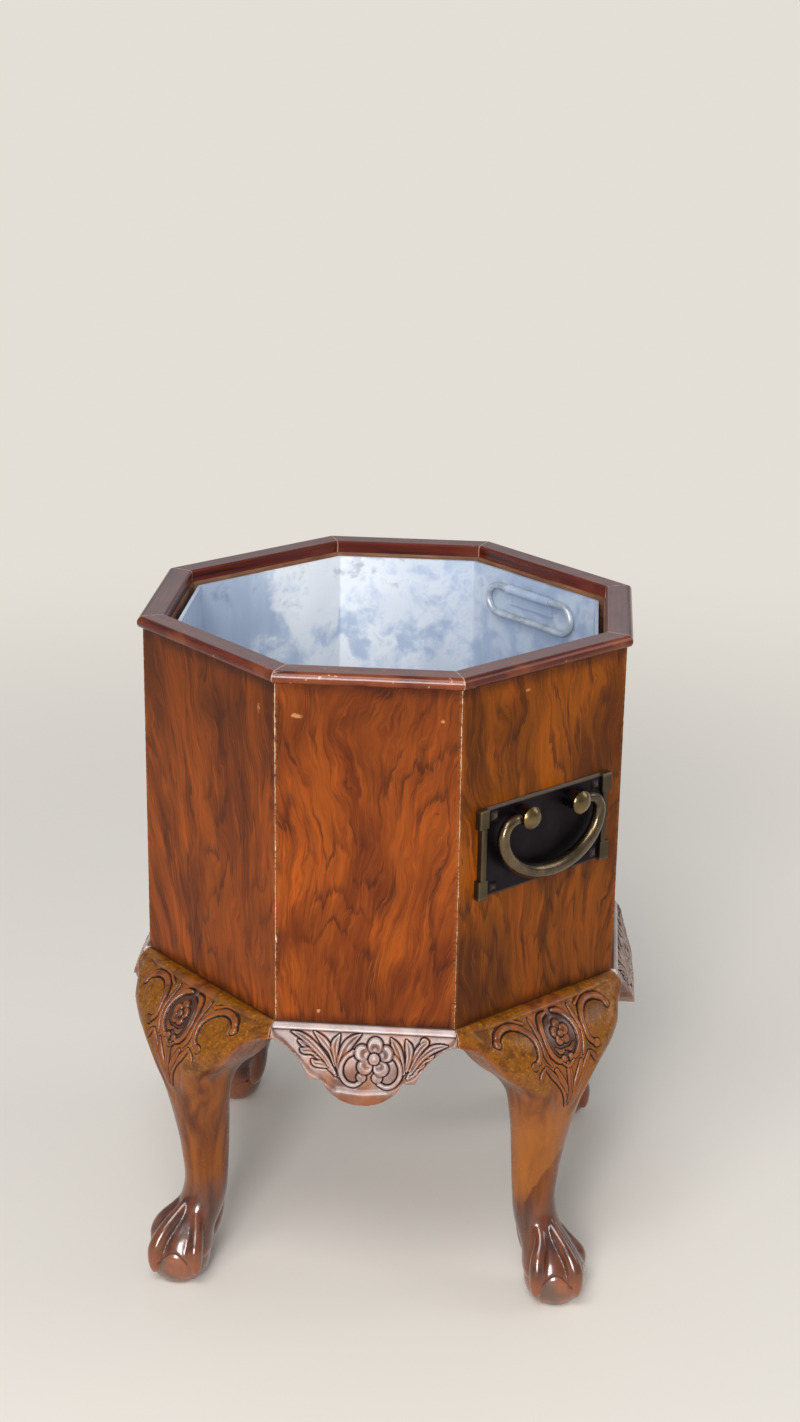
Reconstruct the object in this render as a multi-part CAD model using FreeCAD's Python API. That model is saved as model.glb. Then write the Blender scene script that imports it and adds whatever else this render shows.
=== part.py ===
import FreeCAD, Part
import math
import os

# Octagonal cellarette on four cabriole legs, with a lift-out zinc liner.
# Millimetres, +Z up. The origin is on the floor, under the middle of the case.
# The front looks along -Y. A main face looks along X or Y, a corner face between them.

# ---------------------------------------------------------------- driving sizes: case
CASE_ACROSS = 270.0           # between opposite main faces, over the veneer
MAIN_FACE_WIDTH = 98.5        # front, right, back and left faces
CASE_HEIGHT = 195.5           # walls, without the rim moulding
LEG_HEIGHT = 181.0            # floor to the underside of the case
BOARD = 12.0                  # wall board
VENEER = 1.0
BOTTOM_BOARD = 12.0

# ---------------------------------------------------------------- rim moulding
RIM_THICKNESS = 7.0
RIM_OVERHANG = 3.2            # nose beyond the veneer
RIM_INNER_EDGE = 12.0         # inner edge, inside the veneer's face
RIM_ARRIS = 1.0               # softened inner edge

# ---------------------------------------------------------------- blocks and bearers
WALL_BLOCK = 12.0             # side of the glue block's triangle
WALL_BLOCK_LENGTH = 60.0
APRON_BLOCK = 12.0            # side of the square block
APRON_BLOCK_LENGTH = 56.0
BEARER_HEIGHT = 14.0
BEARER_WIDTH = 16.0
BEARER_LENGTH = 180.0
BEARER_SPACING = 100.0        # between the two bearers' middles

# ---------------------------------------------------------------- aprons
APRON_LEDGE = 2.5             # the base stands this far outside the veneer
APRON_BULGE = 11.8            # stand-out of the front at the middle height
APRON_STANDOUT = 16.0         # stand-out of the front at the bottom of the lobe
APRON_BULGE_DROP = 19.0       # drop of the middle height
APRON_END_DROP = 8.5          # depth at the mitres
APRON_STEP_DROP = 28.0        # depth at the step beside the lobe
APRON_LOBE_DROP = 42.0        # depth of the lobe
APRON_BACK = 14.0             # back face, inside the veneer's face
STEP_OUTER = 29.5             # half-width where the step begins
STEP_INNER = 22.0             # half-width where the lobe begins
LOBE_SHOULDER = 4.5           # the lobe starts this far below the step
LOBE_SHOULDER_LEAN = 2.0      # and is narrower by this much on each side
HOLLOW_DEPTH = 2.2            # how far the curve beside the step is hollowed

# ---------------------------------------------------------------- legs
LEG_BLOCK_BACK = 30.0         # back of the leg's square block, inside the corner face
LEG_BLOCK_HALF = 24.0         # half-width of the leg between its ear pieces
LEG_BLOCK_DROP = 26.0         # depth of the block
LEG_BLOCK_BEVEL = 8.0
EAR_BACK = 14.0               # back of the ear pieces at their top, inside the corner face
EAR_SPARE = 8.0               # length of the ear pieces that the mitre cuts away
KNEE_FULLNESS = 4.0           # how squarely the knee bows from side to side
KNEE_DROP = 59.0              # where the knee has become the shin
ANKLE_HEIGHT = 57.0
FOOT_OUT = 24.5               # middle of the foot, outside the corner face
BALL_RADIUS = 17.8
BALL_CENTRE_HEIGHT = 13.5
NEAR_TOE_ANGLE = -78.0        # of one side toe, from the way the foot points
FAR_TOE_ANGLE = 84.0          # of the other, which starts further back
TOE_DEPTH = 0.6               # a toe's middle line lies this far inside the ball's skin
WEB_HEIGHT = 17.0             # the skin between the toes ends here, over the ball
WEB_THICKNESS = 0.7           # of that skin, over the ball

# ---------------------------------------------------------------- leg screws
SCREW_RADIUS = 2.0
SCREW_HEAD_RADIUS = 4.0
SCREW_HEAD_DEPTH = 2.5
SCREW_LENGTH = 34.0
SCREW_INSET = 21.0            # inside the corner face
SCREW_SPACING = 26.0
FIT = 0.05                    # radial play of pins, screws and rivets in their holes

# ---------------------------------------------------------------- liner
LINER_INSET = 17.0            # outside of the zinc, inside the veneer's face
LINER_BELOW_CASE = 1.4        # liner's edge below the top of the walls
SHEET = 1.0
HEM_HEIGHT = 6.0
LINER_FOLD = 3.0              # outside radius of the upright folds

# ---------------------------------------------------------------- liner rings
RING_WIRE = 4.0
RING_WIDTH = 76.0             # over the wire
RING_HEIGHT = 21.0            # over the wire
RING_AXIS_DROP = 9.0          # below the liner's edge
STRAP_LENGTH = 37.0
STRAP_SHEET = 0.8
STRAP_TAIL = 9.5              # from the ring's axis down to the strap's edge
RIVET_RADIUS = 1.5
RIVET_HEAD_RADIUS = 2.8
RIVET_HEAD_HEIGHT = 1.5
RIVET_OUTER_HEAD = 0.8         # thickness of the flat head outside the liner
RIVET_SPACING = 29.0
RIVET_DROP = 6.2              # below the ring's axis

# ---------------------------------------------------------------- carrying handles
HANDLE_RISE = 100.0           # middle of the plate above the underside of the case
PLATE_WIDTH = 94.5
PLATE_HEIGHT = 52.0
PLATE_THICKNESS = 2.2
PLATE_BEVEL = 1.4
SIDE_BAR_WIDTH = 3.8
SIDE_BAR_RISE = 1.8
PAD_HEIGHT = 11.0             # square ends of the side bars
PAD_WIDTH = 6.5
PAD_OVERSAIL = 1.8            # beyond the plate's side
PAD_RISE = 2.4
PAD_BEVEL = 0.7
STUD_SIDE = 5.6
STUD_RISE = 2.3
STUD_INSET = 9.5              # stud's middle from the plate's side
POST_SPACING = 37.0
POST_RISE = 17.5              # post above the plate's middle
POST_RADIUS = 5.4
POST_LENGTH = 10.0            # plate to the underside of the head
POST_HEAD_RADIUS = 6.6
POST_HEAD_HEIGHT = 3.2
TAIL_RADIUS = 2.0
TAIL_SHORT = 0.5              # the tail ends this far short of the wall's inner face
NUT_ACROSS = 8.0
NUT_THICKNESS = 3.5
NUT_WELL_RADIUS = 6.0
NUT_WELL_DEPTH = 5.0
BAIL_AXIS_OUT = 6.0           # bail's axis in front of the plate
BAIL_PIN_RADIUS = 2.0
BAIL_PIN_DEPTH = 4.0          # pin's length inside the post
BAIL_SHOULDER = 0.4           # gap between the post and the bail's shoulder
BAIL_END_RADIUS = 2.6
BAIL_MIDDLE_RADIUS = 4.3
BAIL_HALF_WIDTH = 36.0        # to the bar's middle line
BAIL_DROP = 35.0              # to the bar's middle line
BAIL_CORNER = 9.0             # radius of its upper corners
BAIL_BOWL_SHARE = 0.62        # of the half-line from the bail's middle, where its bowl ends
BAIL_CORNER_SHARE = 0.86      # and where its upper corner ends
BAIL_TAPER = 1.5              # how late the bail grows thin towards its ends
BAIL_STATIONS = 14            # cross-sections from its middle to each end

# ---------------------------------------------------------------- worked-out places
HALF_ACROSS = CASE_ACROSS / 2
ROOT_2 = math.sqrt(2)
CORNER_DISTANCE = (HALF_ACROSS + MAIN_FACE_WIDTH / 2) / ROOT_2
CORNER_FACE_WIDTH = (CASE_ACROSS - MAIN_FACE_WIDTH) / ROOT_2
MITRE_SLOPE = math.tan(math.radians(22.5))
CASE_BOTTOM = LEG_HEIGHT
CASE_TOP = LEG_HEIGHT + CASE_HEIGHT
WALL = BOARD + VENEER
BOTTOM_TOP = CASE_BOTTOM + BOTTOM_BOARD
LINER_BOTTOM = BOTTOM_TOP + BEARER_HEIGHT
LINER_TOP = CASE_TOP - LINER_BELOW_CASE
RING_AXIS_HEIGHT = LINER_TOP - RING_AXIS_DROP
RING_AXIS_OUT = STRAP_SHEET + FIT + RING_WIRE / 2
POST_HEIGHT = CASE_BOTTOM + HANDLE_RISE + POST_RISE
BEYOND = 60.0                 # cutting shapes run this far past what they cut

MAIN_FACES = {"front": -90.0, "right": 0.0, "back": 90.0, "left": 180.0}
CORNER_FACES = {"front_right": -45.0, "back_right": 45.0, "back_left": 135.0, "front_left": -135.0}
HANDLE_FACES = ("front_right", "back_left")
RING_FACES = ("front_left", "back_right")

V = FreeCAD.Vector
nodes = {}


# ---------------------------------------------------------------- helpers
# A piece is drawn for a face that looks along +X: out is the distance beyond the
# veneer's face, across runs along Y, and turn() sets it round the case.

def face_distance(face):
    return HALF_ACROSS if face in MAIN_FACES else CORNER_DISTANCE


def face_width(face):
    return MAIN_FACE_WIDTH if face in MAIN_FACES else CORNER_FACE_WIDTH


def face_angle(face):
    return MAIN_FACES[face] if face in MAIN_FACES else CORNER_FACES[face]


def turn(shape, face):
    turned = shape.copy()
    turned.rotate(V(0, 0, 0), V(0, 0, 1), face_angle(face))
    return turned


def prism(points, height):
    return Part.Face(Part.makePolygon(points + [points[0]])).extrude(V(0, 0, height))


def half_width(face, out):
    return face_width(face) / 2 + out * MITRE_SLOPE


def mitred_block(face, inner, outer, bottom, top):
    """The block between two offsets of one face, mitred to its neighbours."""
    x = face_distance(face)
    points = []
    for out, side in ((inner, -1), (outer, -1), (outer, 1), (inner, 1)):
        points.append(V(x + out, side * half_width(face, out), bottom))
    return prism(points, top - bottom)


def octagon(out, bottom, top):
    """An octagonal prism whose faces stand at one offset from the veneer."""
    points = []
    for face in ("front", "front_right", "right", "back_right",
                 "back", "back_left", "left", "front_left"):
        corner = V(face_distance(face) + out, half_width(face, out), bottom)
        angle = math.radians(face_angle(face))
        points.append(V(corner.x * math.cos(angle) - corner.y * math.sin(angle),
                        corner.x * math.sin(angle) + corner.y * math.cos(angle), bottom))
    return prism(points, top - bottom)


def bar_along_y(points, length):
    """A profile of (x, z) points, or a ready wire, drawn out evenly along Y."""
    if isinstance(points, Part.Wire):
        wire = points
    else:
        corners = [V(x, 0, z) for x, z in points]
        wire = Part.makePolygon(corners + [corners[0]])
    profile = Part.Face(wire)
    profile.translate(V(0, -length / 2, 0))
    return profile.extrude(V(0, length, 0))


def rod(radius, start, end):
    return Part.makeCylinder(radius, start.distanceToPoint(end), start, end - start)


def smooth_edge(points):
    curve = Part.BSplineCurve()
    curve.interpolate(points)
    return curve.toShape()


def keep(name, solids):
    nodes[name] = solids[0] if len(solids) == 1 else Part.makeCompound(solids)


# ---------------------------------------------------------------- case
def wall_board(face):
    board = mitred_block(face, -WALL, -VENEER, CASE_BOTTOM, CASE_TOP)
    if face in HANDLE_FACES:
        for side in (-1, 1):
            board = board.cut(post_hole(side))
            well = Part.makeCylinder(NUT_WELL_RADIUS, NUT_WELL_DEPTH,
                                     V(CORNER_DISTANCE - WALL, side * POST_SPACING / 2, POST_HEIGHT),
                                     V(1, 0, 0))
            board = board.cut(well)
    return board


def veneer_leaf(face):
    leaf = mitred_block(face, -VENEER, 0, CASE_BOTTOM, CASE_TOP)
    if face in HANDLE_FACES:
        for side in (-1, 1):
            leaf = leaf.cut(post_hole(side))
    return leaf


def post_hole(side):
    y = side * POST_SPACING / 2
    return rod(TAIL_RADIUS + FIT, V(CORNER_DISTANCE - WALL - 1, y, POST_HEIGHT),
               V(CORNER_DISTANCE + PLATE_THICKNESS + 1, y, POST_HEIGHT))


def rim_length(face):
    x = face_distance(face)
    nose = RIM_THICKNESS / 2
    low = CASE_TOP
    high = CASE_TOP + RIM_THICKNESS
    inner = x - RIM_INNER_EDGE
    straight = x + RIM_OVERHANG - nose
    edges = [
        Part.LineSegment(V(inner, 0, low), V(straight, 0, low)),
        Part.Arc(V(straight, 0, low), V(x + RIM_OVERHANG, 0, low + nose), V(straight, 0, high)),
        Part.LineSegment(V(straight, 0, high), V(inner + RIM_ARRIS, 0, high)),
        Part.LineSegment(V(inner + RIM_ARRIS, 0, high), V(inner, 0, high - RIM_ARRIS)),
        Part.LineSegment(V(inner, 0, high - RIM_ARRIS), V(inner, 0, low)),
    ]
    profile = Part.Wire([edge.toShape() for edge in edges])
    length = bar_along_y(profile, face_width(face) + BEYOND)
    return length.common(mitred_block(face, -RIM_INNER_EDGE - 1, RIM_OVERHANG + 1, low - 1, high + 1))


def make_case():
    for face in list(MAIN_FACES) + list(CORNER_FACES):
        keep("wall_" + face, [turn(wall_board(face), face)])
        keep("veneer_" + face, [turn(veneer_leaf(face), face)])
        keep("rim_" + face, [turn(rim_length(face), face)])

    bottom = octagon(-WALL, CASE_BOTTOM, BOTTOM_TOP)
    for face in CORNER_FACES:
        for screw_hole in screw_shapes(FIT):
            bottom = bottom.cut(turn(screw_hole, face))
    keep("bottom_board", [bottom])

    corner = HALF_ACROSS - WALL
    wall_block = bar_along_y([(corner, BOTTOM_TOP), (corner - WALL_BLOCK, BOTTOM_TOP),
                              (corner, BOTTOM_TOP + WALL_BLOCK)], WALL_BLOCK_LENGTH)
    keep("wall_glue_blocks", [turn(wall_block, face) for face in MAIN_FACES])

    back = HALF_ACROSS - APRON_BACK
    apron_block = bar_along_y([(back, CASE_BOTTOM), (back, CASE_BOTTOM - APRON_BLOCK),
                               (back - APRON_BLOCK, CASE_BOTTOM - APRON_BLOCK),
                               (back - APRON_BLOCK, CASE_BOTTOM)], APRON_BLOCK_LENGTH)
    keep("apron_glue_blocks", [turn(apron_block, face) for face in MAIN_FACES])

    bearers = []
    for side in (-1, 1):
        corner = V(-BEARER_LENGTH / 2, side * BEARER_SPACING / 2 - BEARER_WIDTH / 2, BOTTOM_TOP)
        bearers.append(Part.makeBox(BEARER_LENGTH, BEARER_WIDTH, BEARER_HEIGHT, corner))
    keep("liner_bearers", bearers)


# ---------------------------------------------------------------- aprons
def base_front_points():
    """Ledge, middle and foot of the base's bowed front, as (out, 0, height) of the case."""
    return (V(APRON_LEDGE, 0, 0), V(APRON_BULGE, 0, -APRON_BULGE_DROP),
            V(APRON_STANDOUT, 0, -APRON_LOBE_DROP))


def base_front(drop):
    """Stand-out of the base's front at a depth below the case, at the mitres."""
    circle = Part.Circle(*base_front_points())
    middle = circle.Center
    return middle.x + math.sqrt(circle.Radius ** 2 - (drop + middle.z) ** 2)


def apron_outline():
    """Front view of an apron, as a wire of (across, height)."""
    end = half_width("front", APRON_STANDOUT)
    top = CASE_BOTTOM
    end_low = top - APRON_END_DROP
    step = top - APRON_STEP_DROP
    shoulder = step - LOBE_SHOULDER
    hollow = V(0, (MAIN_FACE_WIDTH / 2 + STEP_OUTER) / 2 - HOLLOW_DEPTH,
               (end_low + step) / 2 + HOLLOW_DEPTH)
    right = [
        Part.LineSegment(V(0, end, top), V(0, end, end_low)),
        Part.LineSegment(V(0, end, end_low), V(0, MAIN_FACE_WIDTH / 2, end_low)),
        Part.Arc(V(0, MAIN_FACE_WIDTH / 2, end_low), hollow, V(0, STEP_OUTER, step)),
        Part.LineSegment(V(0, STEP_OUTER, step), V(0, STEP_INNER, step)),
        Part.LineSegment(V(0, STEP_INNER, step), V(0, STEP_INNER - LOBE_SHOULDER_LEAN, shoulder)),
    ]
    edges = [edge.toShape() for edge in right]
    for edge in list(edges):
        mirrored = edge.mirror(V(0, 0, 0), V(0, 1, 0))
        edges.append(mirrored)
    lobe = Part.Arc(V(0, STEP_INNER - LOBE_SHOULDER_LEAN, shoulder), V(0, 0, top - APRON_LOBE_DROP),
                    V(0, LOBE_SHOULDER_LEAN - STEP_INNER, shoulder))
    edges.append(lobe.toShape())
    edges.append(Part.makeLine(V(0, end, top), V(0, -end, top)))
    return Part.Wire(Part.__sortEdges__(edges))


def apron():
    x = HALF_ACROSS
    front = Part.Arc(*[point + V(x, 0, CASE_BOTTOM) for point in base_front_points()])
    low = CASE_BOTTOM - APRON_LOBE_DROP
    edges = [
        front.toShape(),
        Part.makeLine(V(x + APRON_STANDOUT, 0, low), V(x - APRON_BACK, 0, low)),
        Part.makeLine(V(x - APRON_BACK, 0, low), V(x - APRON_BACK, 0, CASE_BOTTOM)),
        Part.makeLine(V(x - APRON_BACK, 0, CASE_BOTTOM), V(x + APRON_LEDGE, 0, CASE_BOTTOM)),
    ]
    bar = bar_along_y(Part.Wire(Part.__sortEdges__(edges)), MAIN_FACE_WIDTH + BEYOND)
    outline = Part.Face(apron_outline())
    outline.translate(V(x - BEYOND, 0, 0))
    bar = bar.common(outline.extrude(V(2 * BEYOND, 0, 0)))
    return bar.common(mitred_block("front", -APRON_BACK, APRON_STANDOUT, low - 1, CASE_BOTTOM))


# ---------------------------------------------------------------- legs
def leg_section(height, front, edge, back, half, roundness):
    """One level section of the leg, as four smooth edges: front, side, back, side.

    front, edge and back are distances beyond the corner face: of the middle of the
    front, of the front's two ends and of the back. roundness 0 is a block with a
    bowed front, 1 is an oval."""
    count = 8
    deep = edge - back

    def front_point(share):
        y = half * math.sin(share * math.pi / 2)
        oval = math.cos(share * math.pi / 2)
        bowed = 1 - min(abs(y) / min(half, CORNER_FACE_WIDTH / 2), 1) ** KNEE_FULLNESS
        rise = roundness * oval + (1 - roundness) * bowed
        return V(CORNER_DISTANCE + edge + (front - edge) * rise, y, height)

    def rear_point(share):
        turned = math.pi / 2 * (1 + share)
        oval_x = deep * math.cos(turned)
        oval_y = half * math.sin(turned)
        if share <= 0.5:
            block_x, block_y = -deep * 2 * share, half
        elif share <= 1.5:
            block_x, block_y = -deep, half * (2 - 2 * share)
        else:
            block_x, block_y = -deep * (4 - 2 * share), -half
        return V(CORNER_DISTANCE + edge + roundness * oval_x + (1 - roundness) * block_x,
                 roundness * oval_y + (1 - roundness) * block_y, height)

    def run(point, start, end):
        step = (end - start) / count
        return smooth_edge([point(start + step * i) for i in range(count + 1)])

    return Part.Wire([run(front_point, -1, 1), run(rear_point, 0, 0.5),
                      run(rear_point, 0.5, 1.5), run(rear_point, 1.5, 2)])


def ball_width(height):
    """Radius of the ball at a height above the floor."""
    return math.sqrt(BALL_RADIUS ** 2 - (height - BALL_CENTRE_HEIGHT) ** 2)


def knee_and_shin():
    """The whole knee, both ear pieces included, and the shin down into the foot."""
    drop = CASE_BOTTOM
    ear = CORNER_FACE_WIDTH / 2
    knee_end = CASE_BOTTOM - KNEE_DROP
    web = ball_width(WEB_HEIGHT) + WEB_THICKNESS

    def shin(share):
        return knee_end + share * (ANKLE_HEIGHT - knee_end)

    # height, front, edge, back, half-width, roundness
    sections = [
        (drop, APRON_LEDGE, APRON_LEDGE, -EAR_BACK, ear + EAR_SPARE, 0),
        (drop - 4, 11.5, base_front(4), -EAR_BACK, ear + EAR_SPARE, 0),
        (drop - 7, 15.6, base_front(7), -EAR_BACK, ear + 6.5, 0),
        (drop - APRON_END_DROP, 17.6, base_front(APRON_END_DROP), -EAR_BACK, ear + 3.2, 0),
        (drop - 10, 19.2, 10.0, -13.4, ear - 1.2, 0),
        (drop - 12, 21.2, 12.8, -12.0, ear - 5.3, 0),
        (drop - 15, 23.5, 16.2, -10.0, ear - 9.2, 0),
        (drop - 20, 26.5, 20.0, -7.5, ear - 13.1, 0),
        (drop - 25, 28.7, 21.5, -5.5, ear - 16.6, 0),
        (drop - 30, 30.3, 22.5, -4.5, ear - 21.1, 0),
        (drop - 35, 31.4, 22.5, -4.5, ear - 26.6, 0),
        (drop - 40, 32.0, 21.5, -5.5, 29.0, 0.15),
        (drop - 45, 32.0, 19.0, -6.8, 26.0, 0.4),
        (drop - 51, 31.0, 15.0, -7.6, 24.3, 0.75),
        (knee_end, 28.6, 11.0, -7.5, 22.8, 1),
        (shin(0.16), 25.8, 9.5, -6.8, 20.4, 1),
        (shin(0.31), 23.6, 8.1, -7.5, 18.0, 1),
        (shin(0.47), 21.5, 6.7, -8.1, 16.0, 1),
        (shin(0.62), 19.7, 5.7, -8.3, 14.6, 1),
        (shin(0.81), 18.2, 5.0, -8.2, 13.3, 1),
        (ANKLE_HEIGHT, 17.5, 4.9, -7.7, 12.4, 1),
        (ANKLE_HEIGHT - 8, FOOT_OUT - 5.0, FOOT_OUT - 18.0, -7.2, 12.4, 1),
        (ANKLE_HEIGHT - 16, FOOT_OUT - 0.5, FOOT_OUT - 14.0, -5.5, 12.6, 1),
        (ANKLE_HEIGHT - 24, FOOT_OUT + web - 11.0, FOOT_OUT - 8.0, FOOT_OUT - web - 7.0, web - 4.4, 1),
        (ANKLE_HEIGHT - 32, FOOT_OUT + web - 4.2, FOOT_OUT - 2.5, FOOT_OUT - web - 3.0, web - 1.8, 1),
        (WEB_HEIGHT, FOOT_OUT + web, FOOT_OUT, FOOT_OUT - web, web, 1),
    ]
    return Part.makeLoft([leg_section(*section) for section in sections], True, False)


def toe(line):
    """One toe with its claw, along points of (ahead of the foot's middle, aside, height, radius)."""
    points = [V(CORNER_DISTANCE + FOOT_OUT + ahead, aside, height) for ahead, aside, height, _ in line]
    rings = []
    for i, point in enumerate(points):
        heading = points[min(i + 1, len(points) - 1)] - points[max(i - 1, 0)]
        ring = Part.Wire(Part.makeCircle(line[i][3]))
        ring.Placement = FreeCAD.Placement(point, FreeCAD.Rotation(V(0, 0, -1), heading))
        rings.append(ring)
    return Part.makeLoft(rings, True, False)


def talon(angle):
    """The lower rows of a toe: its knuckle on the ball, then the claw that grips the ball."""
    ahead = math.cos(math.radians(angle))
    aside = math.sin(math.radians(angle))
    rows = [(0.1, 7.0, 4.8), (0.2, 1.0, 4.6), (0.5, -3.4, 3.8), (1.3, -6.6, 2.7), (2.7, -9.8, 1.9)]
    crest = BALL_RADIUS - TOE_DEPTH
    return [((crest - inside) * ahead, (crest - inside) * aside, BALL_CENTRE_HEIGHT + rise, radius)
            for inside, rise, radius in rows]


def toes():
    """A toe ahead, one to each side and one behind, from the ankle down to their claws."""
    crest = BALL_RADIUS - TOE_DEPTH
    ahead_roots = [
        (-11.0, 0, ANKLE_HEIGHT - 7, 2.6),
        (-3.2, 0, ANKLE_HEIGHT - 14.5, 3.4),
        (crest - 10.5, 0, ANKLE_HEIGHT - 22, 4.0),
        (crest - 3.6, 0, BALL_CENTRE_HEIGHT + 14.5, 4.5),
    ]
    near_roots = [
        (-12.0, -4.0, ANKLE_HEIGHT - 7, 2.6),
        (-6.5, -7.0, ANKLE_HEIGHT - 15.5, 3.4),
        (-0.8, 5.5 - crest, ANKLE_HEIGHT - 23.5, 4.2),
        (1.8, 1.8 - crest, BALL_CENTRE_HEIGHT + 13.5, 4.7),
    ]
    far_roots = [
        (-12.5, 3.4, ANKLE_HEIGHT - 7, 2.6),
        (-8.0, 6.4, ANKLE_HEIGHT - 15.5, 3.4),
        (-4.5, crest - 6.8, ANKLE_HEIGHT - 23.5, 4.1),
        (-1.2, crest - 2.9, BALL_CENTRE_HEIGHT + 13.5, 4.5),
    ]
    heel = [
        (-25.0, 0, ANKLE_HEIGHT - 4, 5.6),
        (-25.5, 0, ANKLE_HEIGHT - 14, 6.2),
        (-crest - 7.2, 0, BALL_CENTRE_HEIGHT + 20, 6.2),
        (-crest - 5.4, 0, BALL_CENTRE_HEIGHT + 12, 5.6),
        (-crest - 3.2, 0, BALL_CENTRE_HEIGHT + 5.5, 4.4),
        (-crest - 1.2, 0, BALL_CENTRE_HEIGHT + 1.5, 2.6),
    ]
    return [toe(ahead_roots + talon(0)), toe(near_roots + talon(NEAR_TOE_ANGLE)),
            toe(far_roots + talon(FAR_TOE_ANGLE)), toe(heel)]


def leg_parts():
    """The leg with its foot, and its two ear pieces, for the corner face at +X."""
    whole = knee_and_shin()
    whole = whole.common(mitred_block("front_right", -EAR_BACK, BEYOND, 0, CASE_BOTTOM))
    slab = Part.makeBox(4 * BEYOND, 2 * LEG_BLOCK_HALF, CASE_BOTTOM,
                        V(CORNER_DISTANCE - 2 * BEYOND, -LEG_BLOCK_HALF, 0))
    ears = whole.cut(slab).Solids
    block = Part.makeBox(LEG_BLOCK_BACK, 2 * LEG_BLOCK_HALF, LEG_BLOCK_DROP,
                         V(CORNER_DISTANCE - LEG_BLOCK_BACK, -LEG_BLOCK_HALF,
                           CASE_BOTTOM - LEG_BLOCK_DROP))
    low_back = [edge for edge in block.Edges
                if all(vertex.X < CORNER_DISTANCE - LEG_BLOCK_BACK + 1
                       and vertex.Z < CASE_BOTTOM - 1 for vertex in edge.Vertexes)]
    block = block.makeChamfer(LEG_BLOCK_BEVEL, low_back)
    ball = Part.makeSphere(BALL_RADIUS, V(CORNER_DISTANCE + FOOT_OUT, 0, BALL_CENTRE_HEIGHT))
    leg = whole.common(slab)
    for piece in [block, ball] + toes():
        leg = leg.fuse(piece)
    above_floor = Part.makeBox(4 * BEYOND, 4 * BEYOND, CASE_BOTTOM,
                               V(CORNER_DISTANCE - 2 * BEYOND, -2 * BEYOND, 0))
    leg = leg.common(above_floor)
    for screw_hole in screw_shapes(FIT):
        leg = leg.cut(screw_hole)
    return leg.Solids[0], ears


def screw_shapes(play):
    """The two leg screws of one corner, grown by a radial play."""
    shapes = []
    for side in (-1, 1):
        place = V(CORNER_DISTANCE - SCREW_INSET, side * SCREW_SPACING / 2, BOTTOM_TOP)
        shank = Part.makeCylinder(SCREW_RADIUS + play, SCREW_LENGTH + play, place, V(0, 0, -1))
        head = Part.makeCone(SCREW_HEAD_RADIUS + play, SCREW_RADIUS + play, SCREW_HEAD_DEPTH,
                             place, V(0, 0, -1))
        shapes.append(shank.fuse(head))
    return shapes


def make_base():
    leg, ears = leg_parts()
    for face in CORNER_FACES:
        keep("leg_" + face, [turn(leg, face)])
        keep("knee_ears_" + face, [turn(ear, face) for ear in ears])
    piece = apron()
    for face in MAIN_FACES:
        keep("apron_" + face, [turn(piece, face)])
    screws = [turn(screw, face) for face in CORNER_FACES for screw in screw_shapes(0)]
    keep("leg_screws", screws)


# ---------------------------------------------------------------- liner
def upright_edges(shape):
    return [edge for edge in shape.Edges
            if abs(edge.Vertexes[0].X - edge.Vertexes[-1].X) < 0.01
            and abs(edge.Vertexes[0].Y - edge.Vertexes[-1].Y) < 0.01]


def folded_octagon(out, bottom, top, radius):
    block = octagon(out, bottom, top)
    return block.makeFillet(radius, upright_edges(block))


def rivet_places():
    for side in (-1, 1):
        yield V(0, side * RIVET_SPACING / 2, RING_AXIS_HEIGHT - RIVET_DROP)


def liner_face():
    """Distance of the inside of a liner wall from the middle, at a corner face."""
    return CORNER_DISTANCE - LINER_INSET - SHEET


def ring_rivet(place, play):
    """Inside head, shank and flat outside head of one strap rivet."""
    x = liner_face()
    sheets = 2 * STRAP_SHEET
    shank = Part.makeCylinder(RIVET_RADIUS + play, SHEET + sheets, V(x - sheets, place.y, place.z),
                              V(1, 0, 0))
    if play:
        return shank
    radius = (RIVET_HEAD_RADIUS ** 2 + RIVET_HEAD_HEIGHT ** 2) / (2 * RIVET_HEAD_HEIGHT)
    dome = Part.makeSphere(radius, V(x - sheets - RIVET_HEAD_HEIGHT + radius, place.y, place.z))
    cap = Part.makeCylinder(RIVET_HEAD_RADIUS, RIVET_HEAD_HEIGHT, V(x - sheets, place.y, place.z),
                            V(-1, 0, 0))
    outside = Part.makeCylinder(RIVET_HEAD_RADIUS, RIVET_OUTER_HEAD,
                                V(x + SHEET, place.y, place.z), V(1, 0, 0))
    return shank.fuse([cap.common(dome), outside])


def ring_strap():
    """A strip folded round the ring's upper bar and riveted to the wall below it."""
    x = liner_face()
    axis = V(x - RING_AXIS_OUT, 0, RING_AXIS_HEIGHT)
    loop_radius = RING_WIRE / 2 + FIT
    across = V(0, 1, 0)
    start = axis - across * (STRAP_LENGTH / 2)
    loop = Part.makeCylinder(loop_radius + STRAP_SHEET, STRAP_LENGTH, start, across)
    tail = Part.makeBox(2 * STRAP_SHEET, STRAP_LENGTH, STRAP_TAIL,
                        V(x - 2 * STRAP_SHEET, -STRAP_LENGTH / 2, RING_AXIS_HEIGHT - STRAP_TAIL))
    strap = loop.fuse(tail)
    strap = strap.cut(Part.makeCylinder(loop_radius, STRAP_LENGTH, start, across))
    for place in rivet_places():
        strap = strap.cut(ring_rivet(place, FIT))
    return strap


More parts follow.
